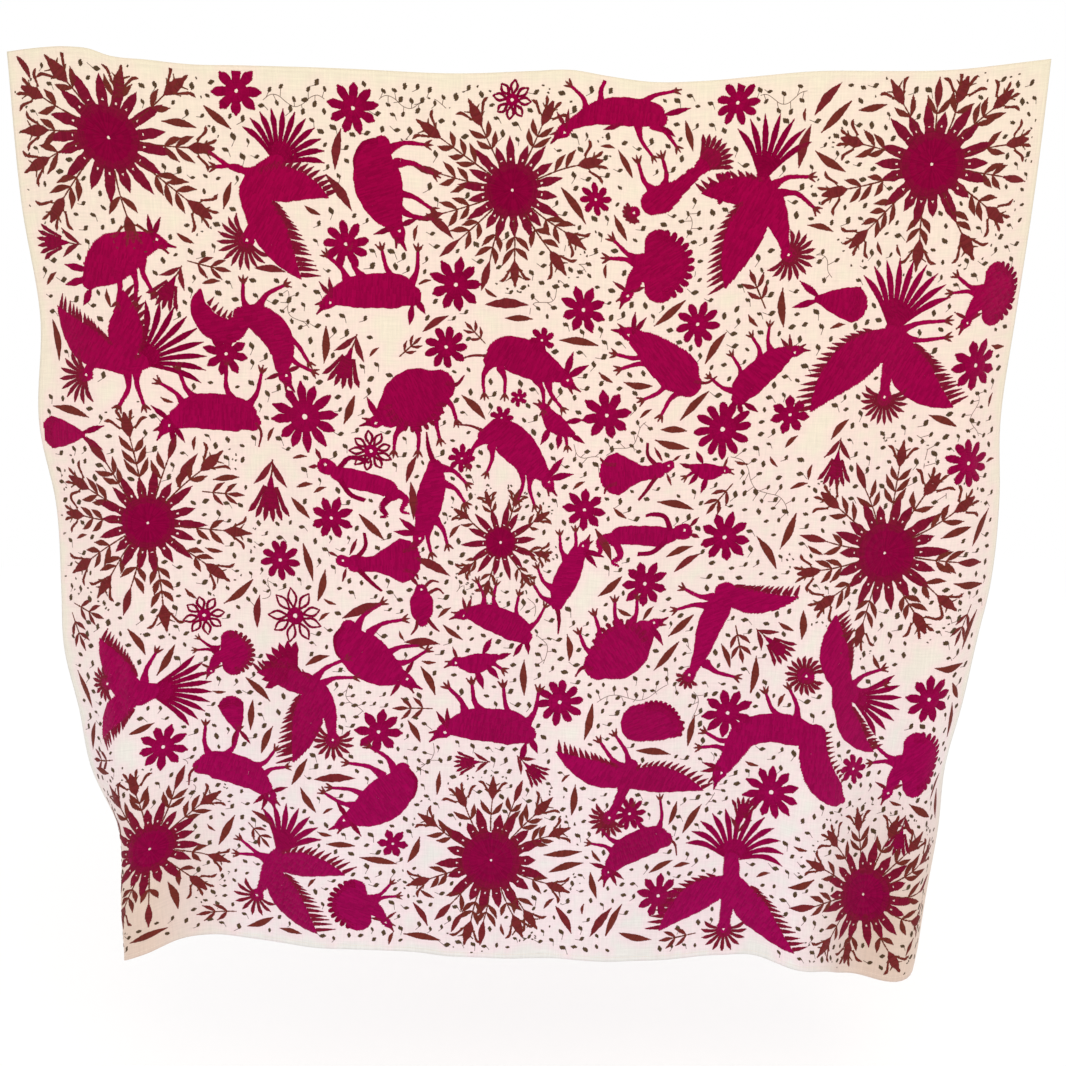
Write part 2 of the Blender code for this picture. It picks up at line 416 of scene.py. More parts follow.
def featherFan(x, y, facing, spread, count, start, length, width, curl=0.0, shorter=0.12):
    feathers = []
    for i in range(count):
        side = 2 * i / (count - 1) - 1
        a = facing + side * spread / 2
        reach = length * (1 - shorter * side * side)
        tip = stepFrom(x, y, a + curl * side, start + reach)
        feathers.append([(*stepFrom(x, y, a, start * 0.6), width * 0.7),
                         (*stepFrom(x, y, a + curl * side * 0.15, start + reach * 0.4), width),
                         (*stepFrom(x, y, a + curl * side * 0.5, start + reach * 0.72), width * 1.15),
                         (*tip, 0.15)])
    return feathers


def legShape(x, y, facing, length, bend, width=0.9, toes=3):
    knee = stepFrom(x, y, facing, length * 0.5, bend)
    foot = stepFrom(x, y, facing, length, bend * 0.3)
    heading = degrees(atan2(foot[1] - knee[1], foot[0] - knee[0]))
    shapes = [[(x, y, width * 2.3), (*stepFrom(x, y, facing, length * 0.24, bend * 0.7), width * 1.35),
               (*knee, width), (*foot, width * 0.75)]]
    for i in range(toes):
        a = heading + (i - (toes - 1) / 2) * 34
        shapes.append([(*foot, 0.5), (*stepFrom(*foot, a, 0.8), 0.54), (*stepFrom(*foot, a, 1.7), 0.2)])
    return shapes


def wingShape(x, y, facing, length, breadth, side, toothCount=13, tooth=1.1, bow=0.12):
    # a curved blade with a toothed edge on one side: +1 left of its heading, -1 right
    spine = [(*stepFrom(x, y, facing, length * s, -side * bow * length * 4 * s * (1 - s)), breadth * w)
             for s, w in ((0.0, 0.62), (0.18, 0.86), (0.42, 1.0), (0.68, 0.72), (0.88, 0.34), (1.0, 0.05))]
    path = curveThrough(np.array(spine), 0.3)
    along, across = pathSides(path)
    shapes = []
    for s in np.linspace(0.14, 0.97, toothCount):
        i = int(s * (len(path) - 1))
        edge = path[i, :2] + across[i] * side * path[i, 2] * 0.46
        way = across[i] * side * 0.8 + along[i] * 0.75
        size = tooth * (0.9 + 0.9 * s)
        shapes.append([(*edge, 0.95), (*(edge + way * size * 0.6), 0.8), (*(edge + way * size * 1.4), 0.14)])
    return spine, shapes


def crestHead(x, y, facing, spread, rays, length, radius=1.35, beak=None):
    shapes = featherFan(x, y, facing, spread, rays, radius * 0.8, length, 0.74, curl=14)
    if beak is not None:
        shapes.append([(*stepFrom(x, y, beak, radius * 0.6), 0.9),
                       (*stepFrom(x, y, beak, radius * 1.9), 0.1)])
    disc = [(*stepFrom(x, y, facing + 180, 0.35), radius * 1.9),
            (*stepFrom(x, y, facing, 0.35), radius * 1.9)]
    return disc, shapes


def birdFigure(body, tails=(), wings=(), head=None, legs=(), grain=60):
    wide, narrow = [body], []
    for tail in tails:
        narrow += featherFan(*tail)
        x, y, facing, spread, _, start = tail[:6]
        wide.append([(*stepFrom(x, y, facing, -0.2), start * 0.7),
                     (*stepFrom(x, y, facing, start * 0.9),
                      start * 2 * sin(radians(min(spread, 150) / 2)) * 0.92)])
    for wing in wings:
        blade, edge = wingShape(*wing)
        wide.append(blade)
        narrow += edge
    eyes = []
    if head:
        disc, rays = crestHead(*head)
        wide.append(disc)
        narrow += rays
        eyes = [(head[0], head[1], 0.26)]
    for leg in legs:
        narrow += legShape(*leg)
    return {"wide": wide, "narrow": narrow, "eyes": eyes, "grain": grain}


def sewDaisy(spot, radius, petals, hollow=False):
    family, x, y = spot["family"], spot["across"], spot["down"]
    first = rng.uniform(0, 360)
    width = 2 * pi * 0.64 * radius / petals * 0.90
    for i in range(petals):
        a = first + 360 * i / petals + rng.uniform(-4, 4)
        reach = radius * rng.uniform(0.93, 1.06)
        if hollow:
            for side in (-1, 1):
                sewShape(spot, [(*stepFrom(0, 0, a, 0.28 * radius), 0.5),
                                (*stepFrom(0, 0, a, 0.66 * radius, side * width * 0.38), 0.55),
                                (*stepFrom(0, 0, a, reach), 0.3)], 0.2)
        else:
            sewShape(spot, [(*stepFrom(0, 0, a, 0.32 * radius), width * 0.62),
                            (*stepFrom(0, 0, a, 0.62 * radius), width * 0.92),
                            (*stepFrom(0, 0, a, 0.84 * radius), width * 0.88),
                            (*stepFrom(0, 0, a, reach), width * 0.30)], 0.10)
    sewDisc(family, x, y, radius * (0.30 if hollow else 0.46), 0.075 * radius + 0.05, 0.03)


def sewPod(spot, x, y, facing, length, prongs=3):  # a bud with side prickles and a parted tip
    sewShape(spot, [(*stepFrom(x, y, facing, 0), 0.35),
                    (*stepFrom(x, y, facing, length * 0.3), length * 0.40),
                    (*stepFrom(x, y, facing, length * 0.62), length * 0.36),
                    (*stepFrom(x, y, facing, length * 0.92), 0.7)], 0.42)
    for prong in featherFan(x, y, facing, 20 * prongs, prongs, length * 0.72, length * 0.40, 0.58, 10):
        sewShape(spot, prong, 0.5)
    for s, side in ((0.3, 1), (0.3, -1), (0.62, 1), (0.66, -1)):
        foot = stepFrom(x, y, facing, length * s, side * length * 0.13)
        tip = stepFrom(*foot, facing + side * 58, rng.uniform(0.9, 1.5))
        sewShape(spot, [(*foot, 0.42), (*tip, 0.16)], 0.6)


def sewSprig(spot, x, y, facing, length, clear, leaf, end="pod", podLength=4.6):
    # clear is the share of the stem that stays bare, between the petals of its flower
    pairs = max(1, int(round(length * (1 - clear) / (leaf * 0.72))))
    bend = rng.uniform(-0.9, 0.9)
    points = [stepFrom(x, y, facing, length * s, bend * s * s) for s in (0, 0.35, 0.7, 1)]
    sewShape(spot, [(*point, width) for point, width in zip(points, (0.34, 0.3, 0.28, 0.26))], 0.55)
    for i in range(pairs):
        s = clear + (0.94 - clear) * (i + 0.1) / pairs
        root = stepFrom(x, y, facing, length * s, bend * s * s)
        for side in (-1, 1):
            if rng.uniform() < 0.93:
                sewShape(spot, leafShape(*root, facing + side * rng.uniform(30, 44),
                                         leaf * rng.uniform(0.85, 1.15),
                                         leaf * 0.31, side * 0.25), 0.5)
    tipFacing = facing + bend * 6
    if end == "pod":
        sewPod(spot, *points[-1], tipFacing, podLength, int(rng.integers(3, 5)))
        for i in range(int(rng.integers(3, 6))):
            where = stepFrom(*points[-1], tipFacing + rng.uniform(-46, 46), podLength * rng.uniform(1.1, 1.5))
            sewSeed(spot, *where, rng.uniform(0, 180), rng.uniform(0.34, 0.5))
    elif end == "leaf":
        sewShape(spot, leafShape(*points[-1], tipFacing, podLength * 1.15, podLength * 0.3), 0.4)


def sewSeed(spot, x, y, facing, length):
    sewShape(spot, [(*stepFrom(x, y, facing, -length / 2), 0.25), (x, y, length * 0.74),
                    (*stepFrom(x, y, facing, length / 2), 0.2)], 1.0)


def sewSun(spot, core, reach, petals, sprigs):
    # a round flower with pointed petals, an eyelet at the foot of each, and sprigs all round
    family, x, y = spot["family"], spot["across"], spot["down"]
    first = rng.uniform(0, 360)
    width = 2 * pi * core / petals
    for i in range(petals):
        a = first + 360 * i / petals + rng.uniform(-3, 3)
        length = reach * (1.10 if i % 2 else 0.94) * rng.uniform(0.94, 1.05)
        eyelet = toCloth(spot, [(*stepFrom(0, 0, a, core * 1.2), 0.2)])
        sewShape(spot, [(*stepFrom(0, 0, a, core * 0.92), width * 1.04),
                        (*stepFrom(0, 0, a, core * 1.16), width * 0.92),
                        (*stepFrom(0, 0, a, core + (length - core) * 0.48), width * 0.98),
                        (*stepFrom(0, 0, a, core + (length - core) * 0.76), width * 0.62),
                        (*stepFrom(0, 0, a, length), 0.14)], 0.26, eyelet)
    sewDisc(family, x, y, core, 0.3, 0.13)
    for facing, start, length, leaf, end, podLength in sprigs:
        clear = min(0.72, (reach * 0.9 - start) / length)
        sewSprig(spot, *stepFrom(0, 0, facing, start), facing, length, clear, leaf, end, podLength)


def sewFanFlower(spot, rays=6, leaves=2):  # a calyx with rays, on a stem with a pair of leaves
    sewShape(spot, [(-0.4, 0, 0.5), (1.6, 0, 1.5), (3.4, 0, 3.0), (4.2, 0, 3.4)], 0.1)
    for ray in featherFan(-1.2, 0, 0, 46, rays, 4.6, 4.2, 0.85, 4):
        sewShape(spot, ray, 0.25)
    sewShape(spot, [(-0.2, 0, 0.4), (-1.8, 0.15, 0.3), (-3.4, 0.1, 0.28)], 0.5)
    for i in range(leaves):
        side = 1 - 2 * (i % 2)
        sewShape(spot, leafShape(-3.0, 0, side * 36, 5.2, 1.15, -side * 0.3), 0.35)


def sewDotSpray(spot, length, count, side=1.5):  # a wandering hair-thin stem with seeds on stalks
    waves = rng.uniform(1.2, 1.9)
    places = [(length * (s - 0.5), 1.1 * sin(waves * pi * s * 2), 0.13) for s in np.linspace(0, 1, 9)]
    path = curveThrough(toCloth(spot, places))
    clear = roomAt(path[:, 0], path[:, 1]) > 0.5
    for run in np.split(np.arange(len(path)), np.flatnonzero(np.diff(clear)) + 1):
        if clear[run[0]] and len(run) > 4:
            sewLine(spot["family"], path[run], 0.9)
    for i in range(count):
        s = (i + 0.5) / count
        x, y = length * (s - 0.5), 1.1 * sin(waves * pi * s * 2)
        up = 1 - 2 * (i % 2)
        tip = (x + rng.uniform(-0.4, 0.8), y + up * side * rng.uniform(0.75, 1.25))
        stalk = toCloth(spot, [(x, y, 0.1), (*tip, 0.1)])
        if roomAt(stalk[1, 0], stalk[1, 1]) > 0.8:
            sewLine(spot["family"], stalk, 0.9)
            sewSeed(spot, *tip, rng.uniform(30, 150), rng.uniform(0.9, 1.2))
            takeGround(*stalk[1, :2], 0.9)


# Birds: body (x, y, width along the spine), tails (x, y, facing, spread, feathers, start,
# length, width, curl), wings (x, y, facing, length, breadth, toothed side, teeth, tooth, bow),
# head (x, y, facing, spread, rays, length, radius) and legs (x, y, facing, length, bend)
birds = {
    "phoenix": birdFigure(
        [(1.7, 6.6, 3.0), (-1.6, 4.2, 3.4), (-3.7, 1.2, 4.2), (-3.5, -2.4, 3.6), (-3.8, -5.2, 1.7),
         (-4.8, -7.6, 1.6)],
        tails=[(1.8, 6.2, 68, 118, 11, 2.6, 7.4, 0.95, 8)],
        wings=[(-3.0, 1.6, -6, 14.5, 6.6, 1, 14, 1.1, -0.10), (-2.6, 0.4, -62, 17.5, 6.8, 1, 15, 1.5, 0.06)],
        head=(-4.9, -8.0, 218, 190, 13, 4.6, 1.5),
        legs=[(-2.4, 4.6, 156, 9.5, 1.3), (-3.2, 3.6, 168, 7.0, -1.2)]),
    "greeter": birdFigure(
        [(6.2, -3.0, 2.6), (2.0, -4.0, 3.4), (-2.2, -3.4, 3.2), (-4.2, -4.6, 1.6), (-5.0, -6.0, 1.5)],
        tails=[(5.0, -3.2, 32, 84, 9, 3.0, 10.2, 0.95, 7)],
        wings=[(0.8, -3.4, 141, 16.0, 6.6, -1, 14, 1.0, 0.10),
               (1.4, -3.0, 84, 13.2, 6.8, -1, 12, 1.0, -0.06)],
        head=(-5.2, -6.2, 196, 150, 10, 4.8, 1.3),
        legs=[(2.6, -5.0, -106, 6.8, 1.0), (4.4, -4.6, -80, 6.6, -0.5)]),
    "plume": birdFigure(
        [(-0.8, 4.6, 2.2), (-0.4, 1.8, 4.8), (1.4, -1.6, 5.2), (3.0, -5.2, 3.6), (4.0, -8.4, 2.0),
         (4.8, -10.2, 1.8)],
        tails=[(-0.9, 3.6, 76, 62, 7, 1.4, 11.2, 1.0, 9)],
        wings=[(0.2, 1.2, 176, 12.5, 5.4, -1, 10, 0.9, -0.05),
               (-0.4, 0.6, 249, 18.0, 7.6, -1, 15, 1.3, -0.04)],
        head=(4.9, -10.6, -28, 205, 13, 4.0, 1.5),
        legs=[(1.4, 2.6, 8, 6.6, 0.9), (2.2, 1.0, -26, 7.6, 1.4)]),
    "spread": birdFigure(
        [(-0.2, 4.4, 2.6), (-0.2, 1.6, 4.6), (-0.4, -3.0, 3.0), (-0.8, -6.4, 2.3), (-0.8, -9.0, 2.2)],
        tails=[(-0.4, 3.0, 76, 76, 9, 2.2, 12.0, 1.1, 8)],
        wings=[(-0.8, 1.4, 222, 20.5, 8.4, -1, 17, 1.3, -0.09), (0.8, 1.4, -47, 18.0, 8.0, 1, 15, 1.3, 0.10)],
        head=(-0.8, -9.6, 266, 200, 14, 4.2, 1.6),
        legs=[(1.6, 3.2, 10, 8.6, 0.8), (2.0, 2.2, -2, 8.2, -0.7)]),
    "dove": birdFigure(
        [(-1.2, -1.6, 4.6), (1.2, -0.6, 5.4), (4.2, 1.4, 3.4), (7.0, 3.8, 2.6)],
        tails=[(8.0, 4.6, 42, 78, 9, 3.4, 3.6, 0.8, 4)],
        head=(-4.6, -3.6, 214, 150, 8, 1.3, 1.2),
        legs=[(-1.0, 0.8, 118, 5.6, 0.7), (1.2, 1.4, 96, 5.4, -0.7)], grain=40),
    "sidefan": birdFigure(
        [(4.6, -0.4, 3.0), (1.0, -0.6, 5.2), (-2.4, 0.2, 3.6), (-4.4, 1.4, 1.7), (-5.2, 1.6, 1.5)],
        tails=[(3.0, -0.4, -6, 74, 9, 3.6, 9.0, 1.0, 5)],
        wings=[(0.4, 0.6, 122, 12.5, 5.6, -1, 12, 1.0, 0.06), (0.6, -1.2, 224, 12.5, 5.2, 1, 11, 1.1, 0.10)],
        head=(-5.4, 1.8, 176, 176, 10, 3.0, 1.3),
        legs=[(2.4, 1.6, 66, 6.4, 0.6)]),
    "swan": birdFigure(
        [(2.6, 8.2, 3.4), (1.0, 4.4, 5.2), (-0.8, 0.2, 5.0), (-2.0, -4.4, 3.6), (-3.4, -8.0, 2.2),
         (-4.2, -9.4, 1.6)],
        wings=[(1.4, 8.0, -4, 15.5, 5.0, 1, 13, 0.9, 0.13)],
        head=(-4.4, -9.6, 240, 110, 6, 2.0, 1.4),
        legs=[(-0.4, 6.6, 160, 6.0, 0.6), (-1.2, 4.8, 186, 6.4, -0.6), (-1.0, -7.4, -24, 6.6, -0.7)],
        grain=20),
    "lantern": birdFigure(
        [(-2.4, 6.0, 3.4), (-1.6, 2.0, 4.6), (-1.2, -2.4, 4.8), (0.2, -5.0, 3.2)],
        tails=[(0.6, -0.8, -12, 62, 7, 3.2, 8.6, 1.0, 6)],
        wings=[(-1.8, 1.6, 99, 14.5, 6.8, -1, 13, 1.1, 0.07), (-1.4, -2.2, -48, 13.5, 5.4, 1, 12, 0.9, 0.12)],
        head=(-9.6, 3.2, 178, 300, 17, 2.9, 1.7),
        legs=[(0.8, 1.4, 26, 7.4, 0.7), (1.2, 0.4, 12, 7.0, -0.6)]),
    "diver": birdFigure(
        [(-3.2, 3.4, 3.0), (-0.4, 2.4, 4.2), (2.6, 0.2, 4.2), (4.4, -3.4, 3.2), (4.9, -7.0, 2.2),
         (5.2, -9.4, 1.8)],
        tails=[(-2.4, 3.4, 146, 104, 9, 3.4, 4.8, 1.3, 4)],
        wings=[(1.0, 0.8, 166, 12.5, 5.0, -1, 11, 0.9, -0.06), (1.2, 1.0, 254, 17.0, 6.6, -1, 14, 1.5, 0.03)],
        head=(5.2, -9.8, 262, 230, 12, 3.4, 1.5),
        legs=[(1.6, 3.2, 34, 7.6, 0.8), (3.0, 2.2, 12, 6.6, 0.8)]),
    "rooster": birdFigure(
        [(1.8, 3.2, 2.2), (0.6, 0.8, 3.6), (-0.6, -2.0, 3.4), (-1.8, -5.0, 2.2), (-3.0, -7.3, 1.7)],
        tails=[(1.8, 2.9, 66, 66, 7, 1.6, 10.4, 1.15, 10)],
        wings=[(0.8, 0.2, -4, 15.8, 5.6, 1, 12, 1.2, -0.08), (0.0, -1.4, -52, 17.2, 6.8, 1, 13, 1.6, 0.05)],
        head=(-3.3, -7.8, 230, 190, 9, 3.8, 1.5),
        legs=[(0.2, 1.6, 150, 7.4, 0.9), (-0.6, 0.4, 170, 6.4, -0.9)]),
    "descender": birdFigure(
        [(-0.4, 7.0, 3.2), (-0.2, 2.5, 3.6), (-0.4, -2.0, 3.2), (-0.8, -6.0, 2.6), (-1.0, -9.0, 2.4)],
        tails=[(-0.4, 6.0, 78, 132, 12, 3.0, 8.8, 1.05, 12)],
        wings=[(-0.9, 0.6, 213, 17.2, 6.8, -1, 13, 1.3, -0.08), (0.6, 0.6, -43, 18.4, 6.8, 1, 13, 1.3, 0.08)],
        head=(-1.0, -9.6, 268, 200, 11, 3.8, 1.7)),
    "glider": birdFigure(
        [(2.6, 2.0, 3.0), (1.4, 0.0, 4.4), (0.8, -3.4, 2.6), (-0.6, -6.6, 2.0), (-1.8, -8.8, 1.8)],
        wings=[(1.4, -0.6, 160, 15.8, 5.6, -1, 12, 1.0, 0.08),
               (1.6, -1.2, -10, 17.4, 5.8, 1, 13, 1.0, -0.07)],
        head=(-2.0, -9.2, 232, 170, 11, 3.4, 1.5),
        legs=[(0.8, 1.6, 132, 7.6, 0.6), (2.0, 2.2, 118, 7.0, -0.6)]),
}


# Beasts and people: wide shapes (x, y, width along the spine) sewn together as one body, heads
# (x, y, facing, size, facings of the ears, ear length), legs (x, y, facing, length, bend)


def headShape(x, y, facing, size, ears=(), earLength=3.2):  # a skull, parted jaws and ears
    skull = [(*stepFrom(x, y, facing, -1.2 * size), 2.0 * size), (x, y, 2.5 * size),
             (*stepFrom(x, y, facing, 1.3 * size), 1.6 * size)]
    details = [[(*stepFrom(x, y, facing, 1.0 * size), 1.1 * size),
                (*stepFrom(x, y, facing + 8, 3.3 * size), 0.3)],
               [(*stepFrom(x, y, facing, 0.8 * size, -0.4 * size), 0.8 * size),
                (*stepFrom(x, y, facing - 22, 2.7 * size), 0.3)]]
    root = stepFrom(x, y, facing, -0.7 * size)
    return skull, details + [leafShape(*root, ear, earLength + size, 0.3 * earLength) for ear in ears]


def beastFigure(wide, narrow=(), legs=(), head=None, eyes=(), grain=70):
    wide, shapes, eyes = list(wide), [list(shape) for shape in narrow], [(*eye, 0.26) for eye in eyes]
    for leg in legs:
        shapes += legShape(*leg)
    if head:
        skull, details = headShape(*head)
        wide.append(skull)
        shapes += details
        eyes.append((*stepFrom(head[0], head[1], head[2] + 90, 0.3 * head[3]), 0.26))
    return {"wide": wide, "narrow": shapes, "eyes": eyes, "grain": grain}


def scallops(x, y, radius, first, last, count, size=0.9):  # a frilled round edge
    edge = []
    for a in np.linspace(first, last, count):
        root = stepFrom(x, y, a, radius * 0.72)
        edge.append([(*root, size * 1.1), (*stepFrom(x, y, a, radius * 0.93 + size * 0.3), size * 1.2),
                     (*stepFrom(x, y, a, radius * 0.93 + size * 0.9), size * 0.5)])
    return edge


